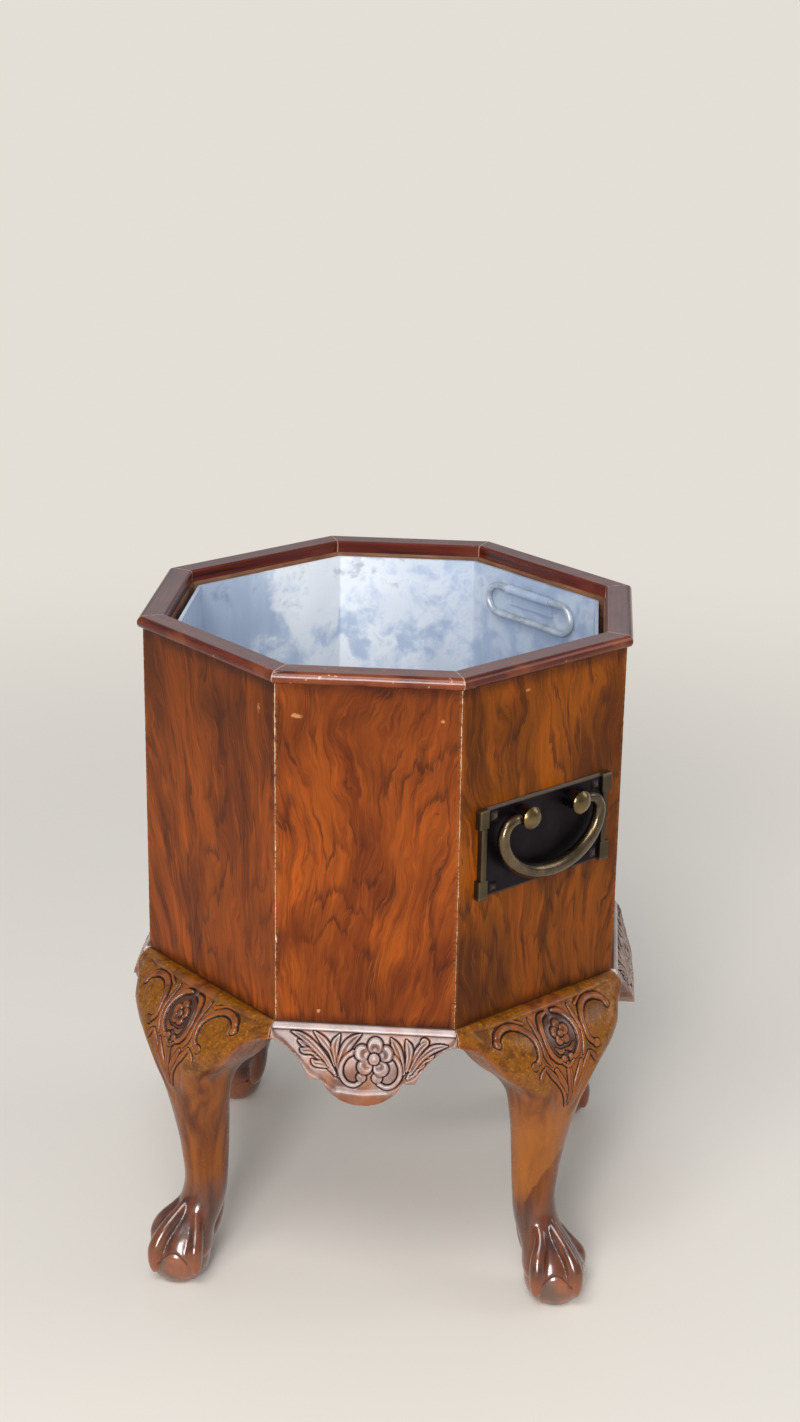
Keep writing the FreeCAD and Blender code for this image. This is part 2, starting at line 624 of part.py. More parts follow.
def drop_ring():
    """A long ring of round wire, hanging from its upper bar."""
    radius = RING_WIRE / 2
    bend = RING_HEIGHT / 2 - radius
    reach = RING_WIDTH / 2 - radius - bend
    x = liner_face() - RING_AXIS_OUT
    middle = RING_AXIS_HEIGHT - bend
    pieces = []
    for side in (-1, 1):
        wire = Part.Face(Part.Wire(Part.makeCircle(radius, V(x, side * reach, middle + bend), V(0, 1, 0))))
        pieces.append(wire.revolve(V(x, side * reach, middle), V(-side, 0, 0), 180))
        height = middle + side * bend
        pieces.append(rod(radius, V(x, -reach, height), V(x, reach, height)))
    return pieces[0].fuse(pieces[1:]).removeSplitter()


def make_liner():
    top_hem = LINER_TOP - HEM_HEIGHT
    walls = folded_octagon(-LINER_INSET, LINER_BOTTOM, LINER_TOP, LINER_FOLD)
    hem = folded_octagon(SHEET - LINER_INSET, top_hem, LINER_TOP, LINER_FOLD + SHEET)
    inside = folded_octagon(-LINER_INSET - SHEET, LINER_BOTTOM - 1, LINER_TOP + 1, LINER_FOLD - SHEET)
    walls = walls.fuse(hem).cut(inside)
    for face in RING_FACES:
        for place in rivet_places():
            walls = walls.cut(turn(ring_rivet(place, FIT), face))
    keep("liner_walls", [walls])
    keep("liner_base", [folded_octagon(-LINER_INSET - SHEET, LINER_BOTTOM, LINER_BOTTOM + SHEET,
                                       LINER_FOLD - SHEET)])
    for face in RING_FACES:
        keep("liner_strap_" + face, [turn(ring_strap(), face)])
        keep("liner_ring_" + face, [turn(drop_ring(), face)])
    keep("liner_rivets", [turn(ring_rivet(place, 0), face)
                          for face in RING_FACES for place in rivet_places()])


# ---------------------------------------------------------------- carrying handles
def bevelled_block(width, height, rise, bevel, middle):
    """A block on the wall, bevelled round its outer face. middle is its back's middle."""
    block = Part.makeBox(rise, width, height, middle - V(0, width / 2, height / 2))
    outer = [edge for edge in block.Edges
             if all(abs(vertex.X - middle.x - rise) < 0.001 for vertex in edge.Vertexes)]
    return block.makeChamfer(bevel, outer)


def backplate():
    x = CORNER_DISTANCE
    middle = V(x, 0, CASE_BOTTOM + HANDLE_RISE)
    plate = bevelled_block(PLATE_WIDTH, PLATE_HEIGHT, PLATE_THICKNESS, PLATE_BEVEL, middle)
    for side in (-1, 1):
        bar_middle = middle + V(0, side * (PLATE_WIDTH - SIDE_BAR_WIDTH) / 2, 0)
        plate = plate.fuse(bevelled_block(SIDE_BAR_WIDTH, PLATE_HEIGHT - 2 * PLATE_BEVEL,
                                          PLATE_THICKNESS + SIDE_BAR_RISE, PAD_BEVEL, bar_middle))
        for end in (-1, 1):
            pad_middle = middle + V(0, side * (PLATE_WIDTH / 2 + PAD_OVERSAIL - PAD_WIDTH / 2),
                                    end * (PLATE_HEIGHT - PAD_HEIGHT) / 2)
            plate = plate.fuse(bevelled_block(PAD_WIDTH, PAD_HEIGHT, PLATE_THICKNESS + PAD_RISE,
                                              PAD_BEVEL, pad_middle))
        plate = plate.cut(post_hole(side))
    return plate


def plate_studs():
    """Four-sided pyramids beside the corner pads."""
    studs = []
    x = CORNER_DISTANCE + PLATE_THICKNESS
    half = STUD_SIDE / 2
    for side in (-1, 1):
        for end in (-1, 1):
            y = side * (PLATE_WIDTH / 2 - STUD_INSET)
            z = CASE_BOTTOM + HANDLE_RISE + end * (PLATE_HEIGHT - PAD_HEIGHT) / 2
            base = [V(x, y - half, z - half), V(x, y + half, z - half),
                    V(x, y + half, z + half), V(x, y - half, z + half)]
            tip = Part.Vertex(x + STUD_RISE, y, z)
            studs.append(Part.makeLoft([Part.makePolygon(base + [base[0]]), tip], True, True))
    return studs


def bail_hole(side, play):
    """The pin's seat in a post, reached from the outer side."""
    x = CORNER_DISTANCE + PLATE_THICKNESS + BAIL_AXIS_OUT
    start = POST_SPACING / 2 + POST_RADIUS - BAIL_PIN_DEPTH - play
    return rod(BAIL_PIN_RADIUS + play, V(x, side * start, POST_HEIGHT),
               V(x, side * (POST_SPACING / 2 + POST_RADIUS + 1), POST_HEIGHT))


def post(side):
    """Turned post: threaded tail, stout stem and domed head."""
    x = CORNER_DISTANCE + PLATE_THICKNESS
    y = side * POST_SPACING / 2
    at = V(x, y, POST_HEIGHT)
    out = V(1, 0, 0)
    stem = Part.makeCylinder(POST_RADIUS, POST_LENGTH, at, out)
    radius = (POST_HEAD_RADIUS ** 2 + POST_HEAD_HEIGHT ** 2) / (2 * POST_HEAD_HEIGHT)
    head_face = at + out * POST_LENGTH
    dome = Part.makeSphere(radius, head_face + out * (POST_HEAD_HEIGHT - radius))
    head = Part.makeCylinder(POST_HEAD_RADIUS, POST_HEAD_HEIGHT, head_face, out).common(dome)
    tail_end = CORNER_DISTANCE - WALL + TAIL_SHORT
    tail = rod(TAIL_RADIUS, V(tail_end, y, POST_HEIGHT), at)
    return tail.fuse([stem, head]).cut(bail_hole(side, FIT))


def handle_nut(side):
    """A thin hexagon nut in its well inside the wall."""
    x = CORNER_DISTANCE - WALL + NUT_WELL_DEPTH - NUT_THICKNESS
    y = side * POST_SPACING / 2
    corner_radius = NUT_ACROSS / math.sqrt(3)
    points = []
    for i in range(6):
        angle = math.radians(60 * i)
        points.append(V(x, y + corner_radius * math.cos(angle),
                        POST_HEIGHT + corner_radius * math.sin(angle)))
    nut = Part.Face(Part.makePolygon(points + [points[0]])).extrude(V(NUT_THICKNESS, 0, 0))
    return nut.cut(post_hole(side))


def bail_line(share):
    """Across, height and heading of the bail's middle line, from middle (0) to shoulder (1)."""
    start = POST_SPACING / 2 + POST_RADIUS + BAIL_SHOULDER
    side_height = -BAIL_CORNER
    bowl = BAIL_BOWL_SHARE
    corner = BAIL_CORNER_SHARE
    if share <= bowl:
        angle = share / bowl * math.pi / 2
        depth = BAIL_DROP - BAIL_CORNER
        across = BAIL_HALF_WIDTH * math.sin(angle)
        height = side_height - depth * math.cos(angle)
        heading = math.degrees(math.atan2(depth * math.sin(angle), BAIL_HALF_WIDTH * math.cos(angle)))
        return across, height, heading
    bend_middle = BAIL_HALF_WIDTH - BAIL_CORNER
    if share <= corner:
        angle = (share - bowl) / (corner - bowl) * math.pi / 2
        return (bend_middle + BAIL_CORNER * math.cos(angle),
                side_height + BAIL_CORNER * math.sin(angle), 90 + math.degrees(angle))
    along = (share - corner) / (1 - corner)
    return bend_middle + (start - bend_middle) * along, 0.0, 180.0


def bail():
    """A swinging handle of tapered round bar, thickest at its middle."""
    x = CORNER_DISTANCE + PLATE_THICKNESS + BAIL_AXIS_OUT
    stations = [i / BAIL_STATIONS for i in range(BAIL_STATIONS + 1)]
    line = [(-1, share) for share in reversed(stations[1:])] + [(1, share) for share in stations]
    rings = []
    for side, share in line:
        across, height, heading = bail_line(share)
        radius = BAIL_MIDDLE_RADIUS - (BAIL_MIDDLE_RADIUS - BAIL_END_RADIUS) * share ** BAIL_TAPER
        ring = Part.Wire(Part.makeCircle(radius, V(0, 0, 0), V(0, 1, 0)))
        ring.rotate(V(0, 0, 0), V(1, 0, 0), side * heading)
        ring.translate(V(x, side * across, POST_HEIGHT + height))
        rings.append(ring)
    bar = Part.makeLoft(rings, True, False)
    for side in (-1, 1):
        end = side * (POST_SPACING / 2 + POST_RADIUS + BAIL_SHOULDER)
        start = side * (POST_SPACING / 2 + POST_RADIUS - BAIL_PIN_DEPTH)
        bar = bar.fuse(rod(BAIL_PIN_RADIUS, V(x, start, POST_HEIGHT),
                           V(x, end + side, POST_HEIGHT)))
    return bar


def make_handles():
    for face in HANDLE_FACES:
        keep("handle_plate_" + face, [turn(backplate(), face)])
        keep("handle_posts_" + face, [turn(post(side), face) for side in (-1, 1)])
        keep("handle_bail_" + face, [turn(bail(), face)])
    keep("handle_nuts", [turn(handle_nut(side), face) for face in HANDLE_FACES for side in (-1, 1)])
    keep("handle_studs", [turn(stud, face) for face in HANDLE_FACES for stud in plate_studs()])


# ---------------------------------------------------------------- make and write
make_case()
make_base()
make_liner()
make_handles()

os.makedirs("parts", exist_ok=True)
for name, shape in nodes.items():
    shape.exportStep("parts/" + name + ".step")
    print(name, "solids", len(shape.Solids), "valid", shape.isValid(), "volume", round(shape.Volume))
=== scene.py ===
"""An octagonal cellarette: figured veneer panels, a mahogany rim, a zinc liner with wire
rings, two bronze handles, carved aprons and cabriole legs on ball and claw feet."""

import math

import bmesh
import bpy
import numpy as np
from mathutils import Matrix, Vector


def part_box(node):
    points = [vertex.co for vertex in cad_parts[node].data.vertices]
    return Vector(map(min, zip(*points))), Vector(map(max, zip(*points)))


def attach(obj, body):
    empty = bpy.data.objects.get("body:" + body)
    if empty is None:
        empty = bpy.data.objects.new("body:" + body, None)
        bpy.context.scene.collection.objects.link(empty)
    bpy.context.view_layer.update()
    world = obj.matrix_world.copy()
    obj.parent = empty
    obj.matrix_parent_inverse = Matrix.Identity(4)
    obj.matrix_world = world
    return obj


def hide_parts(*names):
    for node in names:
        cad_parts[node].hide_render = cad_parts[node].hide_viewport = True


MM = 0.001

# Which way each side of the case faces, in degrees from +X.
SIDES = {"front": -90, "front_right": -45, "right": 0, "back_right": 45,
         "back": 90, "back_left": 135, "left": 180, "front_left": -135}
CORNERS = ("front_right", "back_right", "back_left", "front_left")
MAIN_SIDES = ("front", "right", "back", "left")

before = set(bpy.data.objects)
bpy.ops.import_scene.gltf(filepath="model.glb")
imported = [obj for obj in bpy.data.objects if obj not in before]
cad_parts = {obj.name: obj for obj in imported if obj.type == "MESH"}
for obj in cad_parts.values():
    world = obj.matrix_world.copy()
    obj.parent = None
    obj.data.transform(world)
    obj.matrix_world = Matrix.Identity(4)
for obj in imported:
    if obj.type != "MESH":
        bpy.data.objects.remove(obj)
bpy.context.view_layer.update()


# ---------- measuring the case

def facing(side):
    """The way a side faces, and the way that runs to the right along it."""
    turn = math.radians(SIDES[side])
    return Vector((math.cos(turn), math.sin(turn), 0)), Vector((-math.sin(turn), math.cos(turn), 0))


def rows_of_three(items, name):
    flat = np.empty(len(items) * 3)
    items.foreach_get(name, flat)
    return flat.reshape(-1, 3)


def mesh_points(mesh):
    return rows_of_three(mesh.vertices, "co")


def mesh_normals(mesh):
    return rows_of_three(mesh.vertex_normals, "vector")


def reach(node, direction):
    """The least and greatest distance of a CAD node along a direction, in millimetres."""
    along = mesh_points(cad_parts[node].data) @ np.array(direction)
    return along.min() / MM, along.max() / MM


CASE_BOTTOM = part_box("veneer_front")[0].z / MM
CASE_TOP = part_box("veneer_front")[1].z / MM
MAIN_DISTANCE = reach("veneer_front", facing("front")[0])[1]
CORNER_DISTANCE = reach("veneer_front_right", facing("front_right")[0])[1]
MAIN_HALF = reach("veneer_front", facing("front")[1])[1]
CORNER_HALF = reach("veneer_front_right", facing("front_right")[1])[1]
HANDLE_HEIGHT = sum(reach("handle_plate_front_right", (0, 0, 1))) / 2
PLATE_HALF = reach("handle_plate_front_right", facing("front_right")[1])[1]

PLATE_THICKNESS = 2.2         # of the handles' plates
BALL_RADIUS = 17.8
BALL_HEIGHT = 13.5            # its middle above the floor
WEB_HEIGHT = 17.0             # the toes' skin ends here, over the ball


def half_width(side):
    """Half the width of a side's panel, in metres."""
    return (MAIN_HALF if side in MAIN_SIDES else CORNER_HALF) * MM


# ---------- shader maths

class Number:
    """A value in a finish. Sums and products with it add Math nodes."""

    def __init__(self, finish, socket):
        self.finish = finish
        self.socket = socket

    def __add__(self, other):
        return self.finish.maths("ADD", self, other)

    def __sub__(self, other):
        return self.finish.maths("SUBTRACT", self, other)

    def __mul__(self, other):
        return self.finish.maths("MULTIPLY", self, other)

    def __truediv__(self, other):
        return self.finish.maths("DIVIDE", self, other)

    def __radd__(self, other):
        return self.finish.maths("ADD", other, self)

    def __rsub__(self, other):
        return self.finish.maths("SUBTRACT", other, self)

    def __rmul__(self, other):
        return self.finish.maths("MULTIPLY", other, self)

    def size(self):
        return self.finish.maths("ABSOLUTE", self, 0.0)

    def least(self, other):
        return self.finish.maths("MINIMUM", self, other)

    def fade(self, low, high):
        """0 below low, 1 above high and smooth between; turned round where low is the larger."""
        flip = low > high
        values = {"Value": self, "From Min": min(low, high), "From Max": max(low, high),
                  "To Min": 1.0 if flip else 0.0, "To Max": 0.0 if flip else 1.0}
        settings = {"interpolation_type": "SMOOTHSTEP", "clamp": True}
        node = self.finish.add("ShaderNodeMapRange", settings, values)
        return Number(self.finish, node.outputs["Result"])


class Finish:
    """A material, and the nodes that make it."""

    def __init__(self, name):
        self.material = bpy.data.materials.new(name)
        self.material.use_nodes = True
        self.tree = self.material.node_tree
        self.tree.nodes.clear()
        self.place = self.add("ShaderNodeTexCoord", {}, {}).outputs["Object"]
        self.ground = None            # the colour so far

    def add(self, kind, settings, values):
        """A node of a kind, with its settings made first and then the values or links."""
        node = self.tree.nodes.new(kind)
        for name, value in settings.items():
            if name == "stops":
                for extra in value[2:]:
                    node.color_ramp.elements.new(extra[0])
                for element, (position, tone) in zip(node.color_ramp.elements, value):
                    element.position = position
                    element.color = tone
            else:
                setattr(node, name, value)
        for name, value in values.items():
            value = getattr(value, "socket", value)
            if isinstance(value, bpy.types.NodeSocket):
                self.tree.links.new(value, node.inputs[name])
            else:
                node.inputs[name].default_value = value
        return node

    def maths(self, operation, first, second):
        node = self.add("ShaderNodeMath", {"operation": operation}, {0: first, 1: second})
        return Number(self, node.outputs[0])

    def stretched(self, *stretch):
        """Place on the object, with each axis stretched."""
        values = {"Vector": self.place, "Scale": stretch}
        return self.add("ShaderNodeMapping", {}, values).outputs[0]

    def towards(self, side):
        """Place on the object, turned so that a side of the case takes the front's place."""
        turn = math.radians(SIDES["front"] - SIDES[side])
        values = {"Vector": self.place, "Rotation": (0, 0, turn)}
        return self.add("ShaderNodeMapping", {}, values).outputs[0]

    def parts(self, vector):
        node = self.add("ShaderNodeSeparateXYZ", {}, {"Vector": vector})
        return [Number(self, out) for out in node.outputs]

    def vector(self, x, y, z):
        return self.add("ShaderNodeCombineXYZ", {}, {"X": x, "Y": y, "Z": z}).outputs[0]

    def noise(self, vector, scale, detail=3.0, rough=0.55, swirl=0.0):
        values = {"Vector": vector, "Scale": scale, "Detail": detail, "Roughness": rough,
                  "Distortion": swirl}
        return Number(self, self.add("ShaderNodeTexNoise", {}, values).outputs["Fac"])

    def marked(self, name):
        """A value that was stored on the mesh by its carver."""
        node = self.add("ShaderNodeAttribute", {"attribute_name": name}, {})
        return Number(self, node.outputs["Fac"])

    def ramp(self, value, *stops):
        """A colour that follows a value through stops, each a position and a tone."""
        return self.add("ShaderNodeValToRGB", {"stops": stops}, {"Fac": value}).outputs["Color"]

    def mix(self, share, under, over):
        values = {0: share, 6: under, 7: over}
        return self.add("ShaderNodeMix", {"data_type": "RGBA"}, values).outputs[2]

    def paint(self, share, tone):
        """Lays a tone over the colour so far. Where share is 1, it covers."""
        self.ground = self.mix(share, self.ground, tone)

    def bump(self, height, strength, depth):
        values = {"Height": height, "Strength": strength, "Distance": depth}
        return self.add("ShaderNodeBump", {}, values).outputs[0]

    def surface(self, values):
        """The shader itself. Its values are plain numbers, or links where they vary."""
        values["Base Color"] = self.ground
        shader = self.add("ShaderNodeBsdfPrincipled", {}, values)
        self.add("ShaderNodeOutputMaterial", {}, {"Surface": shader.outputs[0]})
        return self.material


def shade(red, green, blue):
    """A colour as it looks, from 0 to 255, in the linear numbers that a shader takes."""
    def linear(value):
        value /= 255
        return value / 12.92 if value <= 0.04045 else ((value + 0.055) / 1.055) ** 2.4
    return (linear(red), linear(green), linear(blue), 1.0)


FLOOR_SHADE = shade(228, 223, 214)


# ---------- finishes

# Small marks of wear: place across and up its panel, half-width, half-height and colour.
SCUFFS = {
    "front": ((-37.4, 178.0, 3.4, 1.3, shade(204, 142, 96)),
              (39.3, 178.0, 1.1, 1.1, shade(206, 146, 98)),
              (37.3, 126.0, 1.2, 1.0, shade(84, 26, 12)),
              (-25.5, 7.0, 1.1, 1.2, shade(208, 154, 110))),
    "front_left": ((46.6, 178.0, 1.4, 2.4, shade(190, 122, 76)),),
    "front_right": ((-14.0, 186.0, 1.6, 0.9, shade(200, 140, 84)),),
}


def figured(finish, across, up, lean, fan, figure, dark, bright, seed):
    """Colours figured veneer, and gives the fine and the cloudy part of its grain."""
    low = up - CASE_BOTTOM * MM
    sweep = finish.noise(finish.vector(across, seed, up * 0.5), 16.0, 2.0)
    bend = finish.noise(finish.vector(across * 1.5, seed + 3.0, up * 0.7), 42.0, 3.0, 0.55)
    spread = (across - low * math.tan(math.radians(lean))) / (low * fan + 1.0)
    grain = spread + (sweep - 0.5) * 0.030 + (bend - 0.5) * 0.010

    def along(fineness, shift, run, detail, rough, swirl=0.0):
        """Noise that is drawn out along the grain."""
        drawn = finish.vector(grain * fineness, seed + shift, up * run)
        return finish.noise(drawn, 1.0, detail, rough, swirl)

    fine = along(1300, 0.0, 26, 4.0, 0.7)
    medium = along(360, 7.0, 13, 4.0, 0.65)
    broad = along(110, 11.0, 11, 3.0, 0.6)
    cloud = along(34, 17.0, 12, 3.0, 0.55, 0.3)
    flame = along(38, 5.0, 6, 2.0, 0.5)
    teeth = along(320, 9.0, 10, 4.0, 0.70)
    veil = finish.noise(finish.vector(across * 40, seed + 19.0, up * 26), 1.0, 3.0, 0.6)
    contour = low * 22 + flame * 7.5 + teeth * 1.25
    ring = finish.maths("FRACT", contour + 20.0, 0.0)
    ink = ring.fade(0.36, 0.04) * ring.fade(0.0, 0.09) * veil.fade(0.40, 0.58)
    streak = medium.fade(0.50, 0.72) * broad.fade(0.42, 0.60)
    glow = tuple((one + other) / 2 for one, other in zip(bright, shade(198, 90, 16)))
    finish.ground = finish.mix((broad * 0.60 + cloud * 0.40).fade(0.36, 0.62), dark, bright)
    finish.paint(medium.fade(0.44, 0.64) * cloud.fade(0.42, 0.60) * 0.75, glow)
    finish.paint(ring.fade(1.0, 0.0) * cloud.fade(0.62, 0.45) * 0.30, dark)
    finish.paint(streak * 0.50, shade(66, 26, 6))
    finish.paint(ink * figure, shade(52, 24, 14))
    finish.paint(fine.fade(0.52, 0.70) * 0.55, shade(50, 22, 8))
    finish.paint(fine.fade(0.46, 0.32) * 0.22, shade(196, 104, 40))
    return fine, cloud


def chipped(finish, side, across, up, torn, chips, seed):
    """Rubs and chips veneer along its two upright edges, and gives where the chips are."""
    edge = half_width(side) - across.size()
    ragged = finish.noise(finish.vector(0.0, seed + 29.0, up), 55.0, 4.0, 0.7)
    high = (up - CASE_BOTTOM * MM).fade(0.120, 0.165)
    on_right = across.fade(-0.001, 0.001)
    amount = chips[0] * (1.0 - on_right) + chips[1] * on_right * (0.30 + high * 0.70)
    reach_in = amount * (0.00022 + ragged.fade(0.48, 0.72) * 0.00110)
    chip = (edge / reach_in).fade(1.0, 0.7) * (torn + amount * 0.16).fade(0.56, 0.64)
    rub = edge.fade(0.0026, 0.0) * torn.fade(0.40, 0.60)
    finish.paint(rub * 0.45, shade(158, 98, 52))
    finish.paint(chip, shade(204, 180, 148))
    return chip


def veneer_finish(side, lean, fan, figure, dark, bright, tones, chips, seed):
    """Figured veneer under old polish, with small scuffs, chipped edges and a painted shade line
    under the rim and along the foot.

    lean is the slope of the grain off the upright in degrees, fan how fast it spreads
    upwards, figure how strongly its dark lines show, dark and bright its main colours,
    tones how much darker it is at its top and its foot, and chips how much its left and
    its right edge are chipped."""
    finish = Finish("veneer_" + side + "_polish")
    across, _, up = finish.parts(finish.towards(side))
    low = up - CASE_BOTTOM * MM
    fine, cloud = figured(finish, across, up, lean, fan, figure, dark, bright, seed)
    dim = low.fade(0.070, 0.195) * tones[0] + low.fade(0.110, 0.0) * tones[1]
    finish.paint(dim, shade(40, 14, 2))
    blotches = finish.noise(finish.vector(across, seed, up), 60.0, 4.0, 0.65)
    torn = finish.noise(finish.vector(across * 0.5, seed + 23.0, up), 420.0, 4.0, 0.75)
    for aside, height, wide, tall, tone in SCUFFS.get(side, ()):
        off_across = (across - aside * MM) / (wide * MM)
        off_up = (low - height * MM) / (tall * MM)
        off = off_across * off_across + off_up * off_up + (torn - 0.5) * 6.0
        finish.paint(off.fade(1.3, 0.1) * 0.60, tone)
    # Painted shade: a dark line along the foot of the panel and under the rim, broken up by blotchy
    # noise.
    painted_shade_line = (low.fade(0.007, 0.0) + low.fade(0.1870, 0.1945)) * blotches.fade(0.20, 0.60)
    finish.paint(painted_shade_line * 0.6, shade(44, 20, 12))
    chip = chipped(finish, side, across, up, torn, chips, seed)
    rough = 0.26 + cloud * 0.10 + fine * 0.06 + chip * 0.35
    relief = fine * 0.25 + blotches * 0.4 - chip * 1.6
    return finish.surface({"Roughness": rough, "Specular IOR Level": 0.13,
                           "Normal": finish.bump(relief, 0.22, 0.0006)})


def moulding_finish(side, wear_and_light):
    """Dark mahogany of the rim, worn lighter along its nose and pale at the mitres; the lighter
    nose, strongest on the front rim, is also painted light.
    """
    finish = Finish("rim_" + side + "_polish")
    local = finish.towards(side)
    across, out, up = finish.parts(local)
    distance = (MAIN_DISTANCE if side in MAIN_SIDES else CORNER_DISTANCE) * MM
    nose = (0.0 - out) - distance
    streak = finish.noise(finish.vector(across * 14, out * 500, up * 500), 1.0, 4.0, 0.65)
    patch = finish.noise(finish.vector(across * 30, out * 60, up * 60), 1.0, 3.0, 0.6)
    nick = finish.noise(local, 260.0, 3.0, 0.6)
    # Painted light as well as wear: the rubbed patches, lighter along the nose, are strongest on
    # the front rim, which faces the main lamp.
    rubbed_and_lit = patch.fade(0.62 - wear_and_light * 0.5, 0.86 - wear_and_light * 0.5)
    worn_and_lit = (nose.fade(-0.0030, 0.0030) * 0.5 + 0.5) * rubbed_and_lit
    mitre_slope = math.tan(math.radians(22.5))
    mitre = (half_width(side) + nose * mitre_slope - across.size()).size()
    finish.ground = finish.ramp(streak, (0.30, shade(46, 14, 8)), (0.72, shade(110, 38, 14)))
    finish.paint(worn_and_lit * 0.65, shade(144, 72, 34))
    finish.paint(patch.fade(0.56, 0.72) * 0.25, shade(64, 30, 30))
    finish.paint(mitre.fade(0.0006, 0.0001) * nick.fade(0.3, 0.6) * 0.75, shade(196, 160, 128))
    finish.paint(nick.fade(0.66, 0.70) * worn_and_lit, shade(205, 170, 140))
    return finish.surface({"Roughness": 0.15 + patch * 0.12, "Specular IOR Level": 0.4,
                           "Normal": finish.bump(streak + patch * 2.0, 0.22, 0.0005)})


def grained(finish, mottle, streak, foot, ball):
    """Colours the uncarved wood: its grain, the patch on the front right shin that has lost
    its polish, the redder foot with its pale toes, and the ball."""
    x, y, up = finish.parts(finish.place)
    fibre = finish.noise(finish.stretched(900, 900, 40), 1.0, 3.0, 0.6)
    finish.ground = finish.mix(streak.fade(0.34, 0.66), shade(84, 38, 10), shade(134, 72, 18))
    finish.paint(mottle.fade(0.52, 0.72) * 0.25, shade(80, 36, 10))
    finish.paint(fibre.fade(0.56, 0.74) * 0.22, shade(64, 28, 8))
    edge = x - 0.093 - (up - 0.064) * 0.60 + (mottle - 0.5) * 0.010
    bare = (edge.fade(0.0008, -0.0004) * x.fade(0.02, 0.04) * y.fade(-0.02, -0.04)
            * up.fade(0.050, 0.064) * up.fade(0.140, 0.105))
    finish.paint(bare * (0.25 + streak * 0.6), shade(160, 94, 32))
    claw = finish.mix(streak.fade(0.35, 0.65), shade(50, 18, 8), shade(92, 40, 14))
    finish.paint(foot * 0.85, claw)
    tips = up.fade(0.026, 0.014) * (1.0 - ball)
    finish.paint(tips * 0.70, shade(142, 70, 28))
    rubbed_ball = finish.mix(mottle.fade(0.4, 0.6), shade(98, 74, 60), shade(140, 78, 44))
    finish.paint(ball * 0.85, rubbed_ball)


def stippled(finish, pad, mottle, speckle):
    """Colours the amber, stippled ground beside the carving of a knee."""
    finish.paint(pad * (0.55 + mottle * 0.8).least(1.0), shade(124, 72, 4))
    finish.paint(pad * speckle.fade(0.56, 0.68) * 0.38, shade(188, 130, 28))
    finish.paint(pad * speckle.fade(0.46, 0.34) * 0.50, shade(48, 22, 6))
    finish.paint(pad * mottle.fade(0.50, 0.62) * 0.60, shade(66, 30, 6))


def painted_sheen(finish, whitening, up, mottle, hollow, height):
    """Lays a painted grey sheen, a painted highlight, over an apron's band and carving, and brown
    on its lobe.
    """
    band = whitening * up.fade((CASE_BOTTOM - 4.2) * MM, (CASE_BOTTOM - 2.6) * MM)
    lobe = whitening * up.fade((CASE_BOTTOM - 33.5) * MM, (CASE_BOTTOM - 37.0) * MM)
    painted_crest_shine = (whitening * (0.12 + height * 1.25 + mottle.fade(0.40, 0.62) * 0.30)).least(1.0)
    painted_crest_shine = painted_crest_shine * (1.0 - hollow) * (1.0 - lobe)
    # Painted highlight: pale grey over the band at the top and the crests, kept off the hollows and
    # the lobe.
    finish.paint((painted_crest_shine + band * 0.60).least(0.88), shade(206, 196, 196))
    finish.paint(lobe * 0.6, shade(158, 92, 48))


def carved_finish(name, rubbed_and_lit, whitening):
    """Carved wood under thick old varnish: painted shade in the hollows, lighter on the heights
    from wear and as a painted highlight, painted shade on the sunk ground in the knee's ring, amber
    and stippled on the knees' ground, redder on the feet. The last argument is how much painted
    grey sheen lies over the carving."""
    finish = Finish(name)
    _, _, up = finish.parts(finish.place)
    mottle = finish.noise(finish.place, 80.0, 4.0, 0.6, 0.4)
    speckle = finish.noise(finish.place, 560.0, 3.0, 0.6)
    streak = finish.noise(finish.stretched(110, 110, 9), 1.0, 3.0, 0.55, 0.5)
    hollow, height = finish.marked("hollow"), finish.marked("height")
    pad, ball = finish.marked("pad"), finish.marked("ball")
    between = finish.marked("between") * (0.45 + mottle * 0.7)
    foot = up.fade(0.070, 0.044)
    grained(finish, mottle, streak, foot, ball)
    stippled(finish, pad, mottle, speckle)
    # Painted shade on the sunk ground inside the knee's ring of scrolls.
    finish.paint(between, shade(44, 20, 10))
    # Lighter crests: partly wear, partly a painted highlight.
    finish.paint(height * mottle.fade(0.25, 0.60) * 0.7, rubbed_and_lit)
    # Painted highlight: grey sheen over the aprons' carving; the legs get none.
    painted_sheen(finish, whitening, up, mottle, hollow, height)
    # Painted shade: near-black in the grooves and recesses, under the case and along the ball's
    # seam.
    finish.paint(hollow.fade(0.05, 0.75), shade(26, 11, 5))
    rough = 0.18 + mottle * 0.10 + hollow * 0.60 + speckle * 0.06
    varnish = (foot + height * 0.9 + between * 0.5).least(1.0) * (1.0 - hollow)
    relief = mottle * 1.2 + speckle * (0.2 + pad * 1.4) + streak * 0.3
    return finish.surface({"Roughness": rough, "Specular IOR Level": 0.34,
                           "Coat Weight": varnish * (0.45 + mottle * 0.6),
                           "Coat Roughness": 0.14, "Coat IOR": 1.7,
                           "Normal": finish.bump(relief, 0.20, 0.0006)})


def bare_wood_finish():
    """Sawn carcass wood inside and under the case."""
    finish = Finish("carcass_wood_bare")
    grain = finish.noise(finish.stretched(60, 60, 700), 1.0, 4.0, 0.6)
    stain = finish.noise(finish.place, 40.0, 4.0, 0.6)
    finish.ground = finish.ramp(grain, (0.25, shade(92, 58, 40)), (0.75, shade(158, 112, 82)))
    finish.paint(stain.fade(0.40, 0.70) * 0.6, shade(78, 46, 34))
    return finish.surface({"Roughness": 0.55 + stain * 0.3,
                           "Normal": finish.bump(grain + stain, 0.6, 0.0008)})


